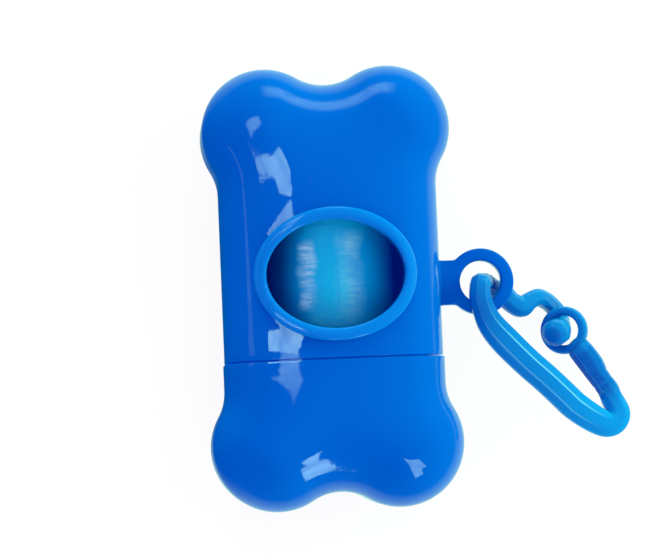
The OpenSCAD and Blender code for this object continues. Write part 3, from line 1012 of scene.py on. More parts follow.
@dataclass(frozen=True)
class Clip:
    """One-piece snap clip that hangs in the eye: a frame with a head, and a gate with a catch eye."""

    centre: np.ndarray
    turn: float = math.radians(-45)
    reach: float = 38.4
    side: float = 5.0
    bar_w: float = 5.6
    bar_t: float = 4.4
    bend_w: float = 3.9
    strand_w: float = 3.3
    arm_w: float = 4.2
    eye_od: float = 9.4
    eye_bore: float = 5.8
    eye_t: float = 2.4
    head_d: float = 5.2
    head_l: float = 3.9
    head_gap: float = 0.5
    head_twist: float = -60.0
    head_turn: float = math.radians(45)
    neck_d: float = 3.0
    neck_foot: float = 0.4
    root_w: float = 4.1
    root_t: float = 3.3
    root_l: float = 1.7
    hinge_w: float = 3.6
    hinge_t: float = 0.6
    web_l: float = 1.9
    web_notch: float = 0.12
    notch_l: float = 0.55
    bend_l: float = 0.9
    slit: float = 0.16
    lean: float = math.radians(20)
    head_shift: float = 0.3
    lug_t: float = 3.0
    flat: float = 0.46
    soft: float = 0.2
    steps: int = 12
    around: int = 72
    # Painted highlight lines: point number round the section and brightness on the long bar
    ridge_highlights: tuple[tuple[int, float], ...] = ((7, 0.5), (12, 1.0))
    # Painted light on the gate's arm and on the catch eye's ring
    arm_painted_light: float = 0.05
    ring_painted_light: float = 0.3

    @cached_property
    def eye_at(self) -> np.ndarray:
        """Middle of the catch eye."""
        return np.array([self.reach / 2, self.side + 0.5, -9.5])

    @cached_property
    def hinge_at(self) -> np.ndarray:
        """Middle of the thin hinge."""
        return np.array([self.reach - 7.1, 2.8, -6.6])

    @cached_property
    def arm_way(self) -> np.ndarray:
        """Direction of the gate's arm."""
        return unit(self.eye_at - self.hinge_at)

    @cached_property
    def lift_way(self) -> np.ndarray:
        """Find the direction in which the catch eye lifts off its head.

        Returns:
            The direction.
        """
        aside = -unit(np.cross(self.arm_way, [0, 0, 1]))
        up = unit(np.array([0, 0, 1]) - self.arm_way * self.arm_way[2])
        return up * math.cos(self.lean) + aside * math.sin(self.lean)

    @cached_property
    def axis(self) -> np.ndarray:
        """Axis of the thin hinge, which is also the direction of the arm's width there."""
        return np.cross(self.arm_way, self.lift_way)

    @cached_property
    def arm_turns(self) -> tuple[float, float]:
        """Turn and tilt of the arm's width, in degrees."""
        return math.degrees(math.atan2(self.axis[1], self.axis[0])), math.degrees(math.asin(self.axis[2]))

    @property
    def head_way(self) -> np.ndarray:
        """Direction in which the head leans out of the path of the eye."""
        return np.array([-math.cos(self.head_turn), -math.sin(self.head_turn), 0.0])

    def eye_path(self, distance: float) -> np.ndarray:
        """Follow the middle of the catch eye as it leaves its head.

        Args:
            distance: How far it has moved.

        Returns:
            Its place.
        """
        length = np.linalg.norm(self.eye_at - self.hinge_at)
        a = distance / length
        return self.hinge_at + length * (math.cos(a) * self.arm_way + math.sin(a) * self.lift_way)

    def head_rows(self) -> list[list[float]]:
        """Lay the head from its tip to its neck.

        Returns:
            Control points, each with width, thickness, turn, tilt and roundness.
        """
        start, radius = self.eye_t / 2 + self.head_gap, self.head_d / 2
        tip, tip_r, neck_r = start + self.head_l, self.head_d * 0.31, self.neck_d / 2
        steps = [
            (tip, 0.02),
            (tip, tip_r * 0.75),
            (tip - 0.05, tip_r * 0.94),
            (tip - 0.2, tip_r * 1.08),
            (tip - 0.75, radius * 0.93),
            (tip - 0.95, radius * 0.985),
            (tip - 1.2, radius),
            (start + 0.9, radius),
            (start + 0.45, radius * 0.985),
            (start + 0.2, radius * 0.93),
            (start + 0.04, radius * 0.82),
            (start, neck_r * 1.15),
            (start - 0.2, neck_r * 1.02),
            (self.neck_foot, neck_r)]
        rows = []
        for along, r in steps:
            shift = self.head_way * self.head_shift * (along - self.neck_foot)
            rows.append([*(self.eye_path(along) + shift), 2 * r, 2 * r, self.head_twist, 0, 1])
        return rows

    def frame_route(self) -> list[list[float]]:
        """Lay the frame from the neck of the head round to the hinge.

        Returns:
            Control points, each with width, thickness, turn, tilt and roundness.
        """
        over = self.lug_t / 2 + self.bend_w / 2 + 1.1
        under = self.lug_t / 2 + self.bend_w / 2 + 0.5
        u, v, mid, reach = self.side, -self.side, self.reach / 2, self.reach
        w, b, bw, bt, aw = self.strand_w, self.bend_w, self.bar_w, self.bar_t, self.arm_w
        route = [
            [mid - 0.9, u + 1.9, -14, w - 0.2, w - 0.3, self.head_twist],
            [mid - 2.6, u + 2.8, -14.5, w, w - 0.2, -75],
            [mid - 4.5, u + 3, -13.8, w, w - 0.1, -80],
            [mid - 6.5, u + 2.6, -11.6, w, w, -60],
            [mid - 8.3, u + 1.6, -9.4, w, w, -30],
            [mid - 9.1, u - 0.3, -8, w + 0.2, w, -20],
            [mid - 9.6, u - 2.2, -7, b + 0.2, w, -40],
            [7.4, 2.0, -6, b, w, -60],
            [5.2, 2, -under - 0.7, b, w, -72],
            [2.9, 1.2, -under + 0.3, b, w + 0.2, -90],
            [1.1, 0.7, -self.lug_t / 2, b - 0.2, w + 0.2, -115],
            [0.5, 0.3, 0, b - 0.2, w + 0.2, -135],
            [0.2, -0.2, self.lug_t / 2, b, w + 0.2, -148],
            [0.4, -1.1, over - 1, b, w + 0.3, -152],
            [1.9, -2.8, over, b + 0.2, w + 0.4, -143],
            [4.2, -4.1, over - 0.3, b + 0.5, w + 0.6, -122],
            [7.1, v, over - 1.4, bw - 0.5, bt - 0.2, -102],
            [11, v - 0.3, 1.8, bw, bt, -90],
            [reach * 0.44, v - 0.3, 0.3, bw, bt, -90],
            [reach * 0.58, v, -1, bw, bt, -89],
            [reach * 0.7, v + 0.1, -2.2, bw, bt, -88],
            [reach - 8.4, v + 0.2, -3.2, bw, bt, -86],
            [reach - 4.3, v + 0.9, -4.2, bw - 0.2, bt, -72],
            [reach - 1.3, v + 1.9, -4.8, bw - 0.6, bt, -50],
            [reach - 0.3, v + 3.6, -5.1, bw - 0.9, bt - 0.2, 0],
            [reach - 1.03, v + 5.4, -5.4, aw + 0.2, bt - 0.4, 45],
            [reach - 3.6, v + 6.5, -6, aw, bt - 0.6, 66]]
        return [[*p, 0, 0] for p in route]

    def hinge_rows(self, way: np.ndarray) -> list[list[float]]:
        """Lay an arm from its full thickness down to the web of the hinge.

        Args:
            way: Direction from the hinge into the arm.

        Returns:
            Control points, each with width, thickness, turn, tilt and roundness.
        """
        root, end = self.hinge_at + way * self.root_l, self.hinge_at + way * self.slit
        return [[*root, self.root_w, self.root_t, *self.arm_turns, 0],
                [*end, self.hinge_w, self.hinge_t, *self.arm_turns, 0]]

    def smooth(self, route: Sequence[Sequence[float]]) -> np.ndarray:
        """Run a smooth line through control points.

        Args:
            route: The control points.

        Returns:
            Points along the line, with the same values as the control points.
        """
        p = np.array(route, float)
        padded = np.concatenate([p[:1], p, p[-1:]])
        t = np.linspace(0, 1, self.steps, endpoint=False)[:, None]
        runs = []
        for a, b, c, d in zip(padded, padded[1:], padded[2:], padded[3:]):
            runs.append(0.5 * (2 * b + (c - a) * t + (2 * a - 5 * b + 4 * c - d) * t**2
                               + (3 * b - a - 3 * c + d) * t**3))
        return np.concatenate([*runs, p[-1:]])

    def bar_section(self, corner_points: int = 5) -> tuple[np.ndarray, np.ndarray]:
        """Lay an eight-sided section with soft corners.

        Args:
            corner_points: Points on each corner.

        Returns:
            The section and the circle of as many points.
        """
        f = self.flat
        corners = np.array([[1, f], [f, 1], [-f, 1], [-1, f], [-1, -f], [-f, -1], [f, -1], [1, -f]])
        section = []
        for k, corner in enumerate(corners):
            before = corner + (corners[k - 1] - corner) * self.soft
            after = corner + (corners[(k + 1) % 8] - corner) * self.soft
            for t in np.linspace(0, 1, corner_points):
                section.append(before * (1 - t) ** 2 + 2 * corner * t * (1 - t) + after * t**2)
        angles = np.arctan2(*np.array(section).T[::-1])
        return np.array(section), np.stack([np.cos(angles), np.sin(angles)], axis=1)

    def ridge_highlight_at(self, x: float, y: float, share: float) -> float:
        """Give the painted highlight along a section corner at a place of the clip's plan.

        Args:
            x: Place along the clip.
            y: Place across it, positive on the gate's side.
            share: Brightness of this painted highlight on the long bar.

        Returns:
            Brightness of the painted highlight, from 0 to 1.
        """
        before_corner = np.clip((self.reach - 2 - x) / 6, 0, 1)
        after_bend = np.clip((x - 2) / 10, 0.15, 1)
        on_bar = share * float(np.clip(1 - y, 0, 1) * before_corner * after_bend)
        on_arm = 0.7 * (share - 0.5) * float(y > 0 and 22 < x < self.hinge_at[0] + 2)
        return max(on_bar, on_arm)

    def strand(self, bm: bmesh.types.BMesh, run: np.ndarray) -> None:
        """Sweep the section along a run of points.

        Args:
            bm: The mesh that it joins.
            run: Points with width, thickness, turn, tilt and roundness.
        """
        bar, circle = self.bar_section()
        ahead = np.concatenate([run[1:, :3], run[-1:, :3]])
        behind = np.concatenate([run[:1, :3], run[:-1, :3]])
        way = unit(ahead - behind + 1e-9)
        aside = direction(*np.radians(run[:, 5:7]).T)
        across = unit(aside - way * np.sum(way * aside, axis=1, keepdims=True))
        up = np.cross(across, way)
        rows = []
        for k, point in enumerate(run):
            section = bar * (1 - point[7]) + circle * point[7]
            rows.append(point[:3] + across[k] * section[:, :1] * point[3] / 2
                        + up[k] * section[:, 1:] * point[4] / 2)
        columns = len(bar)
        verts = add_points(bm, np.concatenate(rows), band_faces(len(rows), columns))
        bm.faces.new(verts[:columns])
        bm.faces.new(verts[-columns:])
        # Painted highlight lines along some corners of the section
        ridge_highlight = bm.verts.layers.float[RIDGE_HIGHLIGHT]
        for number, share in self.ridge_highlights:
            for point, vert in zip(run, verts[number::columns]):
                vert[ridge_highlight] = self.ridge_highlight_at(point[0], point[1], share)

    def start(self) -> bmesh.types.BMesh:
        """Begin a mesh that carries its painted light and shade and its painted highlight lines.

        Returns:
            The empty mesh.
        """
        bm = bmesh.new()
        bm.verts.layers.float.new(PAINTED_LIGHT)
        bm.verts.layers.float.new(RIDGE_HIGHLIGHT)
        return bm

    def painted_light_at(self, x: float, y: float) -> float:
        """Give the painted light and shade at a place of the clip's plan.

        Args:
            x: Place along the clip.
            y: Place across it, positive on the gate's side.

        Returns:
            Painted light from 0, in shade, to 1.
        """
        if y <= 0:
            return 0.12 + 0.46 * float(np.clip((x - 3) / (self.reach - 7), 0, 1))
        past_hinge = x - self.hinge_at[0]
        if past_hinge > -3:
            return self.arm_painted_light + 0.5 * float(np.clip((past_hinge - 1) / 5, 0, 1))
        on_ring = np.linalg.norm(self.eye_at[:2] - [x, y]) < self.eye_od / 2 + 0.6
        return self.ring_painted_light if x < 17 or on_ring else self.arm_painted_light

    @property
    def placed(self) -> Matrix:
        """Way from the clip's own frame to its place in the eye, in millimetres."""
        return Matrix.Translation(Vector(self.centre)) @ Matrix.Rotation(self.turn, 4, "Z")

    def finish(self, name: str, bm: bmesh.types.BMesh) -> bpy.types.Object:
        """Paint light and shade on a mesh and put it in its place in the eye.

        Args:
            name: Name of the piece.
            bm: Its mesh in the clip's own frame.

        Returns:
            The piece.
        """
        tone_and_painted_light = bm.verts.layers.float[PAINTED_LIGHT]
        for vert in bm.verts:
            vert[tone_and_painted_light] = self.painted_light_at(vert.co.x, vert.co.y)
        bm.transform(self.placed)
        return make_object(name, bm)

    def build_frame(self) -> bpy.types.Object:
        """Build the head, the bend through the eye, the long bar and the far corner.

        Returns:
            The frame.
        """
        bm = self.start()
        head, frame_rows = self.head_rows(), self.frame_route()
        route = self.smooth([*frame_rows, *self.hinge_rows(-self.arm_way)])
        neck = self.smooth([head[-1], *frame_rows[:1]])
        self.strand(bm, np.concatenate([np.array(head[:-1]), neck[:-1], route]))
        return self.finish("clip_bar", bm)

    def build_gate(self) -> bpy.types.Object:
        """Build the short arm with its catch eye.

        Returns:
            The gate.
        """
        middle_r = (self.eye_bore + self.eye_od) / 4
        root = self.eye_at - self.arm_way * middle_r
        width, turns = self.arm_w, self.arm_turns
        route = [
            *self.hinge_rows(self.arm_way)[::-1],
            [self.reach * 0.71, 4.0, -7.7, width + 0.5, width - 0.6, *turns, 0],
            [self.reach * 0.61, 4.8, -8.8, width + 0.3, width - 0.9, *turns, 0],
            [*root, width - 1, self.eye_t - 0.5, *turns, 0]]
        bm = self.start()
        self.strand(bm, self.smooth(route))
        a = np.linspace(0, 2 * math.pi, 28, endpoint=False)
        wave = np.stack([np.cos(a), np.sin(a)])
        half_sizes = np.array([[(self.eye_od - self.eye_bore) / 4], [self.eye_t / 2]])
        ring_r, ring_z = half_sizes * np.sign(wave) * np.abs(wave) ** 0.7
        circle = arc((0, 0), 1.0, 0, 2 * math.pi, self.around)
        rows = [np.column_stack([circle * (middle_r + r), np.full(self.around, z)])
                for r, z in zip(ring_r, ring_z)]
        lift = Vector(self.lift_way).to_track_quat("Z", "Y").to_matrix()
        points = np.concatenate(rows) @ np.array(lift).T + self.eye_at
        add_points(bm, points, band_faces(len(rows), self.around, wrap_rows=True))
        return self.finish("clip_gate_arm", bm)

    def build_web(self) -> tuple[bpy.types.Object, Vector, Vector]:
        """Build the thin web of the hinge.

        Returns:
            The web and the two points between which it bends, in metres.
        """
        bm = self.start()
        run = []
        for s in np.linspace(-self.web_l, self.web_l, 41):
            notch = self.web_notch * math.exp(-(s / self.notch_l) ** 2)
            waist = 1 - notch - 0.05 * (s / self.web_l) ** 2
            size = self.root_w * (0.6 + 0.4 * waist), self.root_t * waist
            run.append([*(self.hinge_at + self.arm_way * s), *size, *self.arm_turns, 0])
        self.strand(bm, np.array(run))
        ends = [self.placed @ Vector(self.hinge_at + self.arm_way * s) * MM
                for s in (-self.bend_l, self.bend_l)]
        return self.finish("clip_hinge_web", bm), *ends


class Nodes:
    """A node tree with short ways to add its nodes."""

    def __init__(self, tree: bpy.types.NodeTree) -> None:
        """Take the tree that the nodes join."""
        self.tree = tree

    def feed(self, socket: bpy.types.NodeSocket, value: object) -> None:
        """Fill an input.

        Args:
            socket: The input.
            value: An output to link, or a fixed value. A fixed colour has three numbers.
        """
        if isinstance(value, bpy.types.NodeSocket):
            self.tree.links.new(value, socket)
        else:
            socket.default_value = (*value, 1) if socket.type == "RGBA" else value

    def fill(self, node: bpy.types.Node, inputs: dict[str, object]) -> None:
        """Fill some inputs of a node by their names."""
        for title, value in inputs.items():
            self.feed(node.inputs[title], value)

    def add(self, kind: str, *inputs: object, **settings: object) -> bpy.types.Node:
        """Add a node.

        Args:
            kind: Type name of the node, without its beginning.
            inputs: Values or outputs for its first inputs, with None for one that stays as it is.
            settings: Further settings by name.

        Returns:
            The node.
        """
        node = self.tree.nodes.new("ShaderNode" + kind)
        for title, value in settings.items():
            setattr(node, title, value)
        for socket, value in zip(node.inputs, inputs):
            if value is not None:
                self.feed(socket, value)
        return node

    def place(self) -> bpy.types.NodeSocket:
        """Place on the object, in metres."""
        return self.add("TexCoord").outputs["Object"]

    def attribute(self, name: str) -> bpy.types.NodeSocket:
        """Value that the mesh carries."""
        return self.add("Attribute", attribute_name=name).outputs["Fac"]

    def math(self, operation: str, a: object, b: object = 0.0) -> bpy.types.NodeSocket:
        """Reckon with two values."""
        return self.add("Math", a, b, operation=operation).outputs[0]

    def times(self, a: object, b: object) -> bpy.types.NodeSocket:
        """Product of two values."""
        return self.math("MULTIPLY", a, b)

    def vector(self, operation: str, a: object, b: object = None) -> bpy.types.Node:
        """Reckon with vectors."""
        return self.add("VectorMath", a, b, operation=operation)

    def parts(self, vector: bpy.types.NodeSocket) -> Sequence[bpy.types.NodeSocket]:
        """Three parts of a vector."""
        return self.add("SeparateXYZ", vector).outputs

    def noise(self, place: object, scale: float, detail: float,
              stretch: tuple[float, float, float] | None = None) -> bpy.types.NodeSocket:
        """Add soft noise.

        Args:
            place: Where it is looked up.
            scale: How fine it is, in waves a metre.
            detail: How many finer layers it has.
            stretch: Further scale along each axis, or None.

        Returns:
            The noise from 0 to 1.
        """
        if stretch:
            place = self.add("Mapping", place, None, None, stretch).outputs[0]
        return self.add("TexNoise", place, None, scale, detail).outputs[0]

    def ramp(self, value: object, start: float, end: float, low: float = 0.0, high: float = 1.0,
             **settings: object) -> bpy.types.NodeSocket:
        """Turn one range of a value into another.

        Args:
            value: The value.
            start: Where the range starts.
            end: Where it ends.
            low: Result at its start.
            high: Result at its end.
            settings: Further settings of the node.

        Returns:
            The result, which stays between low and high.
        """
        return self.add("MapRange", value, start, end, low, high, **settings).outputs[0]

    def mix(self, factor: object, first: object, second: object,
            clamp: bool = True) -> bpy.types.NodeSocket:
        """Mix two colours.

        Args:
            factor: Share of the second colour.
            first: Colour at 0.
            second: Colour at 1.
            clamp: Whether the share stays between 0 and 1.

        Returns:
            The mixed colour.
        """
        node = self.add("Mix", factor, data_type="RGBA", clamp_factor=clamp)
        self.fill(node, {"A": first, "B": second})
        return node.outputs["Result"]

    def bump(self, height: bpy.types.NodeSocket, depth_mm: float) -> bpy.types.NodeSocket:
        """Bend a surface's normal by some relief.

        Args:
            height: Relief from 0 to 1.
            depth_mm: Its full depth.

        Returns:
            The normal.
        """
        node = self.add("Bump")
        self.fill(node, {"Distance": depth_mm * MM, "Height": height})
        return node.outputs["Normal"]


class EffectNodes(Nodes):
    """The nodes of a new group with named inputs and outputs."""

    def __init__(self, name: str, inputs: dict[str, float], outputs: Sequence[str]) -> None:
        """Make the empty group.

        Args:
            name: Name of the group.
            inputs: Names and default values of its inputs.
            outputs: Names of its outputs.
        """
        super().__init__(bpy.data.node_groups.new(name, "ShaderNodeTree"))
        new_socket = self.tree.interface.new_socket
        for title, value in inputs.items():
            new_socket(title, in_out="INPUT", socket_type="NodeSocketFloat").default_value = value
        for title in outputs:
            new_socket(title, in_out="OUTPUT", socket_type="NodeSocketFloat")
        self.inputs = self.tree.nodes.new("NodeGroupInput").outputs
        self.output = self.tree.nodes.new("NodeGroupOutput")


class MaterialNodes(Nodes):
    """The nodes of a new material."""

    def __init__(self, name: str) -> None:
        """Make the material, with a plain shader.

        Args:
            name: Name of the material.
        """
        self.material = bpy.data.materials.new(name)
        self.material.use_nodes = True
        super().__init__(self.material.node_tree)
        self.shader = self.tree.nodes["Principled BSDF"]

    def shine(self, light: bpy.types.Node) -> bpy.types.Material:
        """Let the surface show a light of its own, which isn't sampled as a lamp.

        Args:
            light: Shader of the light.

        Returns:
            The material.
        """
        self.fill(self.tree.nodes["Material Output"], {"Surface": light.outputs[0]})
        self.material.cycles.emission_sampling = "NONE"
        return self.material


def moulded_surface() -> bpy.types.NodeTree:
    """Make the effect of moulding: orange peel, slow sink marks and fine handling scratches.

    Returns:
        The node group, with a height, how worn the surface is and how light its colour.
    """
    defaults = {"Peel": 0.2, "Sink": 1.0, "Scratches": 0.3}
    nodes = EffectNodes("moulded_surface", defaults, ("Height", "Wear", "Shade"))
    place, shares = nodes.place(), nodes.inputs
    peel, sink = nodes.noise(place, 900.0, 2.0), nodes.noise(place, 55.0, 2.0)
    fine = nodes.noise(place, 1.0, 3.0, stretch=(2600.0, 180.0, 2600.0))
    wear = nodes.times(nodes.ramp(fine, 0.66, 0.74), shares["Scratches"])
    relief = nodes.math("ADD", nodes.times(peel, shares["Peel"]), nodes.times(sink, shares["Sink"]))
    height = nodes.math("SUBTRACT", relief, nodes.times(wear, 0.05))
    nodes.fill(nodes.output, {"Height": height, "Wear": wear, "Shade": sink})
    return nodes.tree


@dataclass(frozen=True)
class PlasticFinish:
    """A moulded plastic: colour, gloss and how much of each moulding effect it shows."""

    name: str
    colour: Colour
    # Darker colour: random sink-mark colour on the casing and rim, painted shade on the clip
    shade: Colour
    roughness: float = 0.16
    ior: float = 1.46
    peel: float = 0.12
    sink: float = 0.5
    scratches: float = 0.3
    worn: float = 0.35
    bump_mm: float = 0.05
    glow: float = 0.0
    glow_mm: float = 1.5
    glow_reach: Colour = (0.2, 0.6, 1.0)
    # Emission colour of a painted glow, scaled by the mesh's glow share: it lights the shell's inside and
    # seam
    inside: Colour | None = None
    # Painted highlight colour along corners of the clip's section; it also turns on the clip's painted light
    # and shade
    ridge_highlight: Colour | None = None

    def build(self, surface: bpy.types.NodeTree) -> bpy.types.Material:
        """Make the material.

        Args:
            surface: The moulding effect's node group.

        Returns:
            The material.
        """
        nodes = MaterialNodes(self.name)
        effect = nodes.add("Group", node_tree=surface)
        nodes.fill(effect, {"Peel": self.peel, "Sink": self.sink, "Scratches": self.scratches})
        tone_and_painted_light = effect.outputs["Shade"]
        # On the clip: painted light and shade from the mesh, with a little random cloud
        if self.ridge_highlight:
            cloud = nodes.times(nodes.math("SUBTRACT", tone_and_painted_light, 0.5), 0.25)
            tone_and_painted_light = nodes.math("ADD", nodes.attribute(PAINTED_LIGHT), cloud)
        colour = nodes.mix(tone_and_painted_light, self.shade, self.colour)
        # On the clip: painted highlight lines along corners of its section
        if self.ridge_highlight:
            colour = nodes.mix(nodes.attribute(RIDGE_HIGHLIGHT), colour, self.ridge_highlight)
        # Painted glow: emission by the glow share, standing in for light inside the shell and in the seam
        if self.inside:
            lit = nodes.mix(nodes.attribute(PAINTED_GLOW), (0, 0, 0), self.inside, clamp=False)
            nodes.fill(nodes.shader, {"Emission Color": lit, "Emission Strength": 1.0})
        worn = nodes.times(effect.outputs["Wear"], self.worn)
        nodes.fill(nodes.shader, {
            "Base Color": colour,
            "Roughness": nodes.math("ADD", worn, self.roughness),
            "IOR": self.ior,
            "Subsurface Weight": self.glow,
            "Subsurface Scale": self.glow_mm * MM,
            "Subsurface Radius": self.glow_reach,
            "Normal": nodes.bump(effect.outputs["Height"], self.bump_mm)})
        return nodes.material


@dataclass(frozen=True)
class PaintedFilmHighlight:
    """Painted highlight: a paler stripe along the roll in place of a lamp's reflection, with an optional
    painted glow.
    """

    angle: float
    half_angle: float
    full_angle: float
    middle_mm: float
    half_mm: float
    pale: Colour
    creased: float
    # Emission colour of a painted glow in the stripe, or None
    sheen: Colour | None = None


@dataclass(frozen=True)
class FilmFinish:
    """Thin bag film: glossy, with fine creases, painted highlight stripes and painted shade to the left and
    below.
    """

    name: str = "bag_film"
    colour: Colour = (0.0, 0.62, 0.93)
    painted_shade: Colour = (0.0, 0.19, 0.47)
    roughness: float = 0.28
    gloss: float = 0.15
    bump_mm: float = 0.12
    fade_mm: float = 2.5
    # Painted shade: the film darkens to the painted shade colour where its normal turns to -X and towards -Y
    # along the roll
    lit_side: tuple[float, float] = (-0.8, -0.42)
    lit_mm: tuple[float, float] = (-6.6, 2.8)
    # Painted highlight stripes: a pale one on the right, a whiter glowing one on the left
    bands: tuple[PaintedFilmHighlight, ...] = (
        PaintedFilmHighlight(0.24, 0.26, 0.02, middle_mm=4.0, half_mm=9.5, pale=(0.2, 0.90, 1.0), creased=0.5),
        PaintedFilmHighlight(-0.44, 0.17, 0.05, middle_mm=4.7, half_mm=7.0, pale=(0.66, 1.0, 1.0), creased=0.75,
                 sheen=(0.02, 0.16, 0.18)),
    )

    def build(self) -> bpy.types.Material:
        """Make the material.

        Returns:
            The material.
        """
        nodes = MaterialNodes(self.name)
        place = nodes.place()
        x, y, z = nodes.parts(place)
        drift = nodes.math("SUBTRACT", nodes.noise(place, 300.0, 3.0), 0.5)
        angle = nodes.math("ADD", nodes.math("ARCTAN2", x, z), nodes.times(drift, 0.3))
        patches = nodes.ramp(nodes.noise(place, 120.0, 2.0), 0.4, 0.6, 0.5, 1.2)
        crease = nodes.noise(place, 1.0, 4.0, stretch=(260.0, 1500.0, 260.0))
        crease.node.inputs["Roughness"].default_value = 0.6
        colour, sheen = self.colour, (0, 0, 0)
        # Painted highlight stripes, paler and partly glowing, broken up by the creases
        for band in self.bands:
            turned = nodes.math("ABSOLUTE", nodes.math("SUBTRACT", angle, band.angle))
            across = nodes.ramp(turned, band.half_angle, band.full_angle)
            moved = nodes.math("ABSOLUTE", nodes.math("SUBTRACT", y, band.middle_mm * MM))
            along = nodes.ramp(moved, band.half_mm * MM, (band.half_mm - self.fade_mm) * MM)
            worn = nodes.ramp(crease, 0.4, 0.64, 1 - band.creased, 1.15)
            mark = nodes.times(nodes.times(across, along), nodes.times(patches, worn))
            colour = nodes.mix(mark, colour, band.pale)
            if band.sheen:
                sheen = nodes.mix(mark, sheen, band.sheen)
        # Painted shade to the left of the roll and towards its lower end, in place of the rim's shadow
        facing = nodes.parts(nodes.add("NewGeometry").outputs["Normal"])[0]
        from_side = nodes.ramp(facing, *self.lit_side)
        from_end = nodes.ramp(y, self.lit_mm[0] * MM, self.lit_mm[1] * MM)
        nodes.fill(nodes.shader, {
            "Base Color": nodes.mix(nodes.times(from_side, from_end), self.painted_shade, colour),
            "Roughness": self.roughness,
            "Specular IOR Level": self.gloss,
            "Emission Color": sheen,
            "Emission Strength": 1.0,
            "Normal": nodes.bump(crease, self.bump_mm)})
        return nodes.material


@dataclass(frozen=True)
class BoardFinish:
    """Plain brown paper board of the core."""

    name: str = "core_board"
    colour: Colour = (0.52, 0.40, 0.26)
    fibre: Colour = (0.40, 0.29, 0.18)
    roughness: float = 0.9
    bump_mm: float = 0.08

    def build(self) -> bpy.types.Material:
        """Make the material.

        Returns:
            The material.
        """
        nodes = MaterialNodes(self.name)
        noise = nodes.noise(nodes.place(), 1.0, 5.0, stretch=(900.0, 250.0, 900.0))
        nodes.fill(nodes.shader, {
            "Base Color": nodes.mix(noise, self.fibre, self.colour),
            "Roughness": self.roughness,
            "Normal": nodes.bump(noise, self.bump_mm)})
        return nodes.material


@dataclass(frozen=True)
class PhotoCamera:
    """Camera that stands where the photograph was taken from."""

    target: tuple[float, float, float] = (0.0, 0.0, 16.6)
    yaw: float = math.radians(4.26)
    pitch: float = math.radians(3.0)
    roll: float = math.radians(2.43)
    distance: float = 520.0
    focal_px: float = 2708.0
    frame_px: tuple[int, int] = (656, 558)
    target_px: tuple[float, float] = (330.35, 288.55)

    @property
    def axes(self) -> tuple[np.ndarray, np.ndarray, np.ndarray]:
        """Find the directions to the right, up and back, as the camera sees them.

        Returns:
            The three directions.
        """
        back = np.array([-math.sin(self.yaw) * math.cos(self.pitch), -math.sin(self.pitch),
                         math.cos(self.yaw) * math.cos(self.pitch)])
        level_up = unit(np.array([0.0, 1.0, 0.0]) - back * back[1])
        level_right = np.cross(level_up, back)
        right = level_right * math.cos(self.roll) - level_up * math.sin(self.roll)
        up = level_right * math.sin(self.roll) + level_up * math.cos(self.roll)
        return right, up, back

    def build(self) -> bpy.types.Object:
        """Make the scene's camera.

        Returns:
            The camera.
        """
        right, up, back = self.axes
        data = bpy.data.cameras.new("photo_camera")
        data.sensor_width = 36.0
        data.lens = self.focal_px / self.frame_px[0] * data.sensor_width
        data.shift_x = (self.frame_px[0] / 2 - self.target_px[0]) / self.frame_px[0]
        data.shift_y = (self.target_px[1] - self.frame_px[1] / 2) / self.frame_px[0]
        data.clip_start, data.clip_end = 0.01, 20.0
        camera = new_object("photo_camera", data)
        turn = Matrix(np.column_stack([right, up, back]).tolist()).to_4x4()
        eye = Vector(self.target) * MM + Vector(back) * self.distance * MM
        camera.matrix_world = Matrix.Translation(eye) @ turn
        bpy.context.scene.camera = camera
        return camera


@dataclass(frozen=True)
class Lamp:
    """A soft rectangular lamp that looks at the casing."""

    name: str
    azimuth_deg: float
    height_deg: float
    distance_m: float
    size_m: tuple[float, float]
    power_w: float
    colour: Colour = (0.6, 1.25, 0.5)

    def build(self) -> bpy.types.Object:
        """Make the lamp, with its azimuth measured from +X towards +Y.

        Returns:
            The lamp.
        """
        data = bpy.data.lights.new(self.name, "AREA")
        data.shape = "RECTANGLE"
        data.size, data.size_y = self.size_m
        data.energy = self.power_w
        data.color = self.colour
        lamp = new_object(self.name, data)
        way = Vector(direction(np.radians(self.azimuth_deg), np.radians(self.height_deg)))
        turn = way.to_track_quat("Z", "Y").to_matrix().to_4x4()
        lamp.matrix_world = Matrix.Translation(way * self.distance_m) @ turn
        lamp.visible_camera = False
        lamp.visible_glossy = False
        return lamp


class Pixel(NamedTuple):
    """Place in the photograph's frame, from its upper left corner."""

    x: float
    y: float


@dataclass(frozen=True)
class Glint:
    """Bright patch that a pale card mirrors on the casing, as it stands in the photograph's frame."""

    name: str
    outline: tuple[Pixel, ...]
    strength: float
    feather: float = 0.6
    foot_share: float = 1.0
    away: float = 32.0


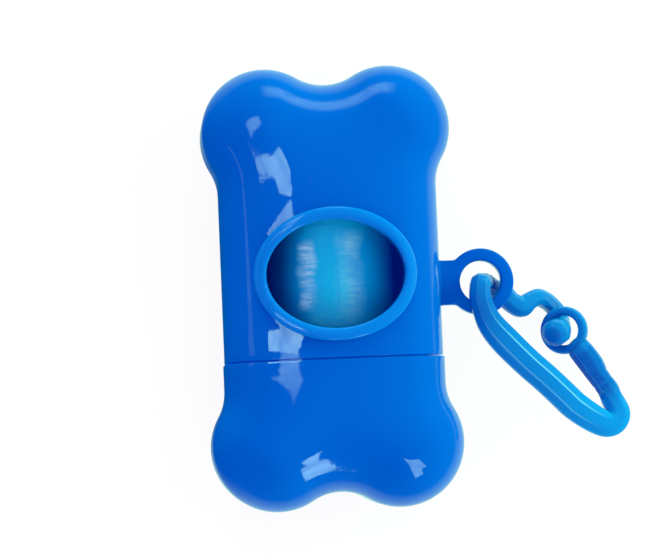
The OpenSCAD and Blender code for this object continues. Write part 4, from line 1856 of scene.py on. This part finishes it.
GLINTS = (
    Glint("upper_scrap", strength=3.2, feather=2.0, outline=(
        Pixel(246, 120), Pixel(253, 116), Pixel(259, 115), Pixel(262, 123), Pixel(258, 129),
        Pixel(253.5, 133), Pixel(251.5, 141), Pixel(248, 131), Pixel(245, 125))),
    Glint("upper_scrap_tail", strength=2.0, feather=0.4, outline=(
        Pixel(250.5, 142), Pixel(251.7, 142), Pixel(254.3, 155), Pixel(253.1, 155))),
    Glint("upper_card", strength=6.0, away=24.0, outline=(
        Pixel(254, 157), Pixel(260, 156), Pixel(266, 154.5), Pixel(271, 155.5), Pixel(277, 151),
        Pixel(279.3, 147), Pixel(282, 151.5), Pixel(286, 159), Pixel(290, 169), Pixel(290.5, 176.5),
        Pixel(290, 182), Pixel(292.4, 185.5), Pixel(291.8, 197), Pixel(286, 196), Pixel(279.5, 193.5),
        Pixel(275, 179), Pixel(272, 176.5), Pixel(261, 179.7), Pixel(257, 170.5), Pixel(256, 163))),
    Glint("upper_sliver", strength=4.9, outline=(
        Pixel(291, 199), Pixel(287, 203), Pixel(282, 210.5), Pixel(276, 219), Pixel(271, 227),
        Pixel(266.5, 233.5), Pixel(270, 236), Pixel(283, 227), Pixel(296, 219), Pixel(292.5, 211.5),
        Pixel(292.5, 203))),
    Glint("middle_card", strength=6.8, away=24.0, outline=(
        Pixel(271, 315), Pixel(277, 319), Pixel(283, 322), Pixel(292, 328), Pixel(301, 333),
        Pixel(304, 337.5), Pixel(301.3, 342), Pixel(301.8, 347), Pixel(298.3, 350), Pixel(297.5, 354),
        Pixel(287.5, 353), Pixel(279, 351.7), Pixel(268.6, 350.4), Pixel(268, 340), Pixel(268.2, 331),
        Pixel(273, 330), Pixel(280, 329), Pixel(279.3, 325.5), Pixel(275, 320))),
    Glint("lower_card", strength=4.0, feather=2.2, foot_share=0.25, away=30.0, outline=(
        Pixel(281, 362), Pixel(300, 361.5), Pixel(301, 371), Pixel(304, 381), Pixel(301, 388.5),
        Pixel(297.5, 396), Pixel(295.5, 404), Pixel(292, 404), Pixel(290, 393.5), Pixel(284, 387.5),
        Pixel(279, 382.5), Pixel(271, 379), Pixel(271, 376), Pixel(280, 375), Pixel(277, 371))),
    Glint("end_card_left", strength=7.2, away=15.0, outline=(
        Pixel(302, 462.5), Pixel(311.4, 456.4), Pixel(322.1, 451), Pixel(318.6, 457),
        Pixel(319.3, 460.5), Pixel(327.4, 459), Pixel(330.7, 462), Pixel(334.6, 468),
        Pixel(324.3, 473.6), Pixel(313, 478), Pixel(305, 481.4), Pixel(303, 475.7), Pixel(301, 470),
        Pixel(305.7, 465.7))),
    Glint("end_card_right", strength=4.4, away=26.0, outline=(
        Pixel(403.6, 458.5), Pixel(409.3, 460), Pixel(419.3, 459), Pixel(423.6, 463.5),
        Pixel(426.4, 467), Pixel(422, 468), Pixel(423, 474.3), Pixel(415.4, 478), Pixel(412, 471.4),
        Pixel(409.3, 465))),
    Glint("left_line", strength=0.7, feather=0.8, away=20.0, outline=(
        Pixel(241, 168), Pixel(241.5, 174), Pixel(242.5, 194), Pixel(244, 216), Pixel(246, 260),
        Pixel(248, 310), Pixel(249, 356), Pixel(255, 356), Pixel(252, 310), Pixel(249, 260),
        Pixel(246.5, 216), Pixel(244.5, 194), Pixel(243, 174), Pixel(242, 168))),
)


@dataclass(frozen=True)
class Strip:
    """Soft light beyond the upper end, which draws the band along the crest of the lobes."""

    azimuth_deg: tuple[float, float] = (61.0, 119.0)
    step_deg: float = 2.0
    height_deg: float = 19.0
    half_deg: float = 17.0
    feather_deg: float = 10.0
    end_feather_deg: float = 16.0
    columns: int = 13
    centre: tuple[float, float, float] = (4.0, 35.0, 30.0)
    distance: float = 42.0
    strength: float = 2.35

    def lay(self) -> tuple[np.ndarray, list, np.ndarray]:
        """Lay the strip on a dome round the crest.

        Returns:
            Points, faces and the glow of each point.
        """
        across = np.radians(np.arange(self.azimuth_deg[0], self.azimuth_deg[1] + 1, self.step_deg))
        up = np.linspace(-self.half_deg, self.half_deg, self.columns)
        a, b = np.meshgrid(across, up, indexing="ij")
        way = direction(a, np.radians(self.height_deg + b))
        end = np.degrees(np.minimum(a - across[0], across[-1] - a)) / self.end_feather_deg
        share = np.clip(end, 0, 1) * np.clip((self.half_deg - np.abs(b)) / self.feather_deg, 0, 1)
        n = self.columns
        faces = [(k, k + 1, k + n + 1, k + n)
                 for row in range(len(across) - 1) for k in range(row * n, row * n + n - 1)]
        return way.reshape(-1, 3) * self.distance + self.centre, faces, self.strength * share.ravel()


@dataclass(frozen=True)
class MirrorCards:
    """Pale cards round the casing, each laid where the photograph's view of its glint leads."""

    camera: PhotoCamera
    mirrors: tuple[bpy.types.Object, ...]
    spacing: float = 1.6

    @cached_property
    def skins(self) -> list[tuple[BVHTree, np.ndarray, np.ndarray, np.ndarray]]:
        """Ready the mirroring pieces to be met by a line of view.

        Returns:
            Search tree, triangles, points and their normals of each piece.
        """
        found = []
        for piece in self.mirrors:
            mesh = piece.data
            mesh.calc_loop_triangles()
            corners = np.array([triangle.vertices for triangle in mesh.loop_triangles])
            points = np.array([vert.co for vert in mesh.vertices]) / MM
            normals = np.array([vert.normal for vert in mesh.vertices])
            found.append((BVHTree.FromPolygons(points.tolist(), corners.tolist()), corners, points, normals))
        return found

    def meet(self, eye: np.ndarray, way: np.ndarray) -> tuple[np.ndarray, np.ndarray]:
        """Find where a line of view meets the casing.

        Args:
            eye: Where the line begins.
            way: Its direction.

        Returns:
            The point and the direction in which the smooth skin faces there.
        """
        hits = []
        for tree, corners, points, normals in self.skins:
            spot, _, index, distance = tree.ray_cast(Vector(eye), Vector(way))
            if spot is not None:
                hits.append((distance, np.array(spot), points[corners[index]], normals[corners[index]]))
        _, spot, triangle, facing = min(hits, key=lambda hit: hit[0])
        weights = np.linalg.solve(triangle.T, spot)
        return spot, unit(weights @ facing)

    def trace(self, pixels: np.ndarray, away: float) -> np.ndarray:
        """Follow the view by way of the casing for some distance beyond it.

        Args:
            pixels: Places in the photograph's frame.
            away: Distance beyond the casing.

        Returns:
            Points where the mirrored lines of view end.
        """
        right, up, back = self.camera.axes
        eye = np.array(self.camera.target) + back * self.camera.distance
        ends = []
        for pixel in pixels:
            shift = (pixel - np.array(self.camera.target_px)) / self.camera.focal_px
            way = unit(-back + right * shift[0] - up * shift[1])
            spot, facing = self.meet(eye, way)
            ends.append(spot + (way - 2 * way.dot(facing) * facing) * away)
        return np.array(ends)

    def sample(self, outline: Sequence[Pixel]) -> tuple[np.ndarray, np.ndarray]:
        """Spread places over a patch.

        Args:
            outline: Its outline.

        Returns:
            Places along its edge, in order, and places clear of the edge.
        """
        corners, runs = np.array(outline), []
        for corner, after in zip(corners, np.roll(corners, -1, axis=0)):
            steps = max(1, round(float(np.linalg.norm(after - corner)) / self.spacing))
            share = np.linspace(0, 1, steps, endpoint=False)[:, None]
            runs.append(corner + (after - corner) * share)
        edge = np.concatenate(runs)
        grid = grid_points(edge.min(axis=0), edge.max(axis=0), self.spacing)
        return edge, grid[edge_distance(grid, edge) > self.spacing * GRID_MARGIN]

    def build(self, glint: Glint, material: bpy.types.Material) -> bpy.types.Object:
        """Build the card of one glint.

        Args:
            glint: The patch that the card has to show.
            material: Material of all cards.

        Returns:
            The card.
        """
        edge, inner = self.sample(glint.outline)
        plan, faces = fill_flat(edge, None, inner)
        used = sorted({i for face in faces for i in face})
        number = {old: new for new, old in enumerate(used)}
        plan, faces = plan[used], [tuple(number[i] for i in face) for face in faces]
        share = np.ones(len(plan))
        if glint.feather > self.spacing:
            share = np.clip(edge_distance(plan, edge) / glint.feather, 0, 1)
        top, foot = edge[:, 1].min(), edge[:, 1].max()
        fall = (plan[:, 1] - top) / (foot - top)
        glow = glint.strength * share * (1 + (glint.foot_share - 1) * fall)
        return self.show(glint.name, self.trace(plan, glint.away), faces, glow, material)

    @staticmethod
    def show(name: str, points: np.ndarray, faces: Sequence[Sequence[int]], glow: np.ndarray,
             material: bpy.types.Material) -> bpy.types.Object:
        """Make a card that only mirrors show.

        Args:
            name: Name of the card.
            points: Its points in millimetres.
            faces: Its faces.
            glow: Light of each point.
            material: Material of all cards.

        Returns:
            The card.
        """
        card = new_object("card_" + name, bpy.data.meshes.new("card_" + name))
        card.data.from_pydata((points * MM).tolist(), [], faces)
        card.data.attributes.new(GLOW, "FLOAT", "POINT").data.foreach_set("value", glow)
        card.data.materials.append(material)
        for sight in ("camera", "diffuse", "transmission", "volume_scatter", "shadow"):
            setattr(card, "visible_" + sight, False)
        return card

    @staticmethod
    def glow_material() -> bpy.types.Material:
        """Make the cards' material, a little uneven like crumpled paper.

        Returns:
            The material.
        """
        nodes = MaterialNodes("card_glow")
        nodes.tree.nodes.remove(nodes.shader)
        uneven = nodes.ramp(nodes.noise(nodes.place(), 240.0, 5.0), 0.3, 0.7, 0.66, 1.3)
        strength = nodes.times(nodes.attribute(GLOW), uneven)
        return nodes.shine(nodes.add("Emission", (0.66, 1.25, 1.1), strength))


@dataclass(frozen=True)
class Studio:
    """White ground, white backdrop, soft lamps and the pale cards that the casing mirrors."""

    camera: PhotoCamera
    mirrors: tuple[bpy.types.Object, ...]
    floor_m: float = 6.0
    floor_colour: float = 0.82
    floor_glow: float = 0.86
    seen_glow: float = 1.05
    ambient: Colour = (0.8, 0.56, 0.8)
    dark: Colour = (0.0, 0.10, 0.36)
    pale: Colour = (0.6, 1.0, 0.85)
    pale_side: tuple[float, float] = (-0.72, -0.4)
    casing_half_m: tuple[float, float, float] = (0.022, 0.040, 0.0)
    pale_fades_m: tuple[float, float] = (0.018, 0.12)

    def mirrored_floor(self, nodes: Nodes) -> bpy.types.Node:
        """Colour the floor that the casing mirrors: pale near it, dark far away and to its left.

        Args:
            nodes: Nodes of the floor's material.

        Returns:
            The shader.
        """
        place = nodes.place()
        across = nodes.parts(nodes.vector("NORMALIZE", place).outputs["Vector"])[0]
        beside = nodes.vector("ABSOLUTE", place).outputs["Vector"]
        beyond = nodes.vector("SUBTRACT", beside, self.casing_half_m).outputs["Vector"]
        clear = nodes.vector("MAXIMUM", beyond, (0, 0, 0)).outputs["Vector"]
        distance = nodes.vector("LENGTH", clear).outputs["Value"]
        near = nodes.ramp(distance, *self.pale_fades_m, 1.0, 0.02, interpolation_type="SMOOTHSTEP")
        share = nodes.times(nodes.ramp(across, *self.pale_side), near)
        return nodes.add("Emission", nodes.mix(share, self.dark, self.pale), 1.0)

    def build_floor(self) -> bpy.types.Object:
        """Make the pale floor, which keeps the shadow of the object.

        Returns:
            The floor.
        """
        bm = bmesh.new()
        corners = np.array([[-1, -1, 0], [1, -1, 0], [1, 1, 0], [-1, 1, 0]])
        add_points(bm, corners * self.floor_m / 2 / MM, [(0, 1, 2, 3)])
        floor = make_object("floor", bm)
        nodes = MaterialNodes("floor_white")
        nodes.fill(nodes.shader, {
            "Base Color": (self.floor_colour,) * 3,
            "Roughness": 0.9,
            "Specular IOR Level": 0.0})
        path = nodes.add("LightPath").outputs
        white = nodes.add("Emission", None, self.seen_glow)
        share = nodes.times(path["Is Camera Ray"], self.floor_glow)
        seen = nodes.add("MixShader", share, nodes.shader.outputs[0], white.outputs[0])
        mirrored = self.mirrored_floor(nodes)
        shown = nodes.add("MixShader", path["Is Glossy Ray"], seen.outputs[0], mirrored.outputs[0])
        floor.data.materials.append(nodes.shine(shown))
        return floor

    def build_world(self) -> None:
        """Make the surroundings: white to the eye and a deep blue in reflections."""
        world = bpy.data.worlds.new("studio")
        bpy.context.scene.world = world
        world.use_nodes = True
        world.cycles.sampling_method = "NONE"
        nodes = Nodes(world.node_tree)
        ambient = nodes.tree.nodes["Background"]
        nodes.fill(ambient, {"Color": self.ambient})
        path = nodes.add("LightPath").outputs
        shown = ambient.outputs[0]
        for ray, colour in (("Is Glossy Ray", self.dark), ("Is Camera Ray", (1, 1, 1))):
            other = nodes.add("Background", colour, 1.0)
            shown = nodes.add("MixShader", path[ray], shown, other.outputs[0]).outputs[0]
        nodes.fill(nodes.tree.nodes["World Output"], {"Surface": shown})

    def build(self) -> None:
        """Make the floor, the surroundings, the lamps and the cards."""
        staged = [self.build_floor()]
        self.build_world()
        lamps = (
            Lamp("side_lamp", 10, 17, 1.2, (0.8, 0.5), 12.0),
            Lamp("end_lamp", 95, 16, 1.2, (0.8, 0.5), 12.0),
            Lamp("foot_lamp", -78, 16, 1.2, (0.8, 0.5), 6.0),
        )
        for lamp in lamps:
            lamp.build()
        cards = MirrorCards(self.camera, self.mirrors)
        glow = cards.glow_material()
        staged += [cards.build(glint, glow) for glint in GLINTS]
        staged.append(cards.show("crest_strip", *Strip().lay(), glow))
        log.info("studio: %d lamps and %d cards", len(lamps), len(staged) - 1)


class Dispenser:
    """The whole object, built class by class over the frame."""

    def __init__(self) -> None:
        """Read the overall sizes from the frame."""
        casing_low, casing_high = node_box("housing", "cap")
        housing_low, housing_high = node_box("housing")
        _, cap_high = node_box("cap")
        form = BoneForm(length=2 * housing_high[1], width=-2 * housing_low[0],
                        depth=casing_high[2] - casing_low[2])
        self.casing = Casing(form, Window(), HangingEye(), seam_y=cap_high[1] + Casing.gap / 2)
        self.roll = BagRoll(*node_box("bag_roll"))
        self.clip = Clip(self.casing.eye_centre)
        surface = moulded_surface()
        # The casing's inside colour is a painted navy glow inside the shell and in the seam
        self.casing_blue = PlasticFinish(
            "casing_blue", (0.0, 0.116, 0.66), (0.0, 0.106, 0.61), roughness=0.045,
            inside=(0.0, 0.004, 0.05)).build(surface)
        self.rim_blue = PlasticFinish(
            "rim_blue", (0.0, 0.185, 0.76), (0.0, 0.17, 0.72), roughness=0.12, ior=1.38).build(surface)
        # The clip mixes its two blues by painted light and shade, and has paler painted highlight lines
        self.clip_blue = PlasticFinish(
            "clip_blue", (0.0, 0.34, 0.86), (0.0, 0.12, 0.54), roughness=0.22, ior=1.3, glow=0.2,
            ridge_highlight=(0.16, 0.62, 0.92)).build(surface)

    def dress(self, piece: bpy.types.Object, material: bpy.types.Material, body: Body, slot: Slot,
              *nodes: str) -> None:
        """Give a piece its material, its body and the nodes that it stands for.

        Args:
            piece: The piece.
            material: Its material.
            body: Body of the frame that it moves with.
            slot: The record's material slot; not used.
            nodes: Nodes of the frame that it replaces.
        """
        piece.data.materials.append(material)
        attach(piece, body.value)
        if nodes:
            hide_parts(*nodes)
        log.info("%s: %d faces on %s", piece.name, len(piece.data.polygons), body.value)

    def build(self) -> tuple[bpy.types.Object, bpy.types.Object]:
        """Build every piece in order.

        Returns:
            The two pieces that mirror the cards.
        """
        housing, cap = self.casing.build_housing(), self.casing.build_cap()
        self.dress(housing, self.casing_blue, Body.CASING, Slot.CASING, "housing")
        self.dress(cap, self.casing_blue, Body.CAP, Slot.CASING, "cap")
        rim = self.casing.window.build_rim(self.casing.form)
        self.dress(rim, self.rim_blue, Body.CASING, Slot.RIM, "window_rim")
        self.dress(self.roll.build(), FilmFinish().build(), Body.ROLL, Slot.FILM, "bag_roll")
        self.dress(self.clip.build_frame(), self.clip_blue, Body.CLIP, Slot.CLIP, "clip_frame")
        self.dress(self.clip.build_gate(), self.clip_blue, Body.GATE, Slot.CLIP, "clip_gate")
        web, start, end = self.clip.build_web()
        web.data.materials.append(self.clip_blue)
        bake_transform(web, Body.CLIP.value, Body.GATE.value, start=start, end=end)
        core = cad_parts["roll_core"]
        core.data.materials.clear()
        core.data.materials.append(BoardFinish().build())
        return housing, cap


def main() -> None:
    """Build the studio and the dispenser."""
    logging.basicConfig(level=logging.INFO, format="%(message)s")
    bpy.context.scene.view_settings.view_transform = "Standard"
    camera = PhotoCamera()
    camera.build()
    mirrors = Dispenser().build()
    Studio(camera, mirrors).build()


if __name__ == "__main__":
    main()
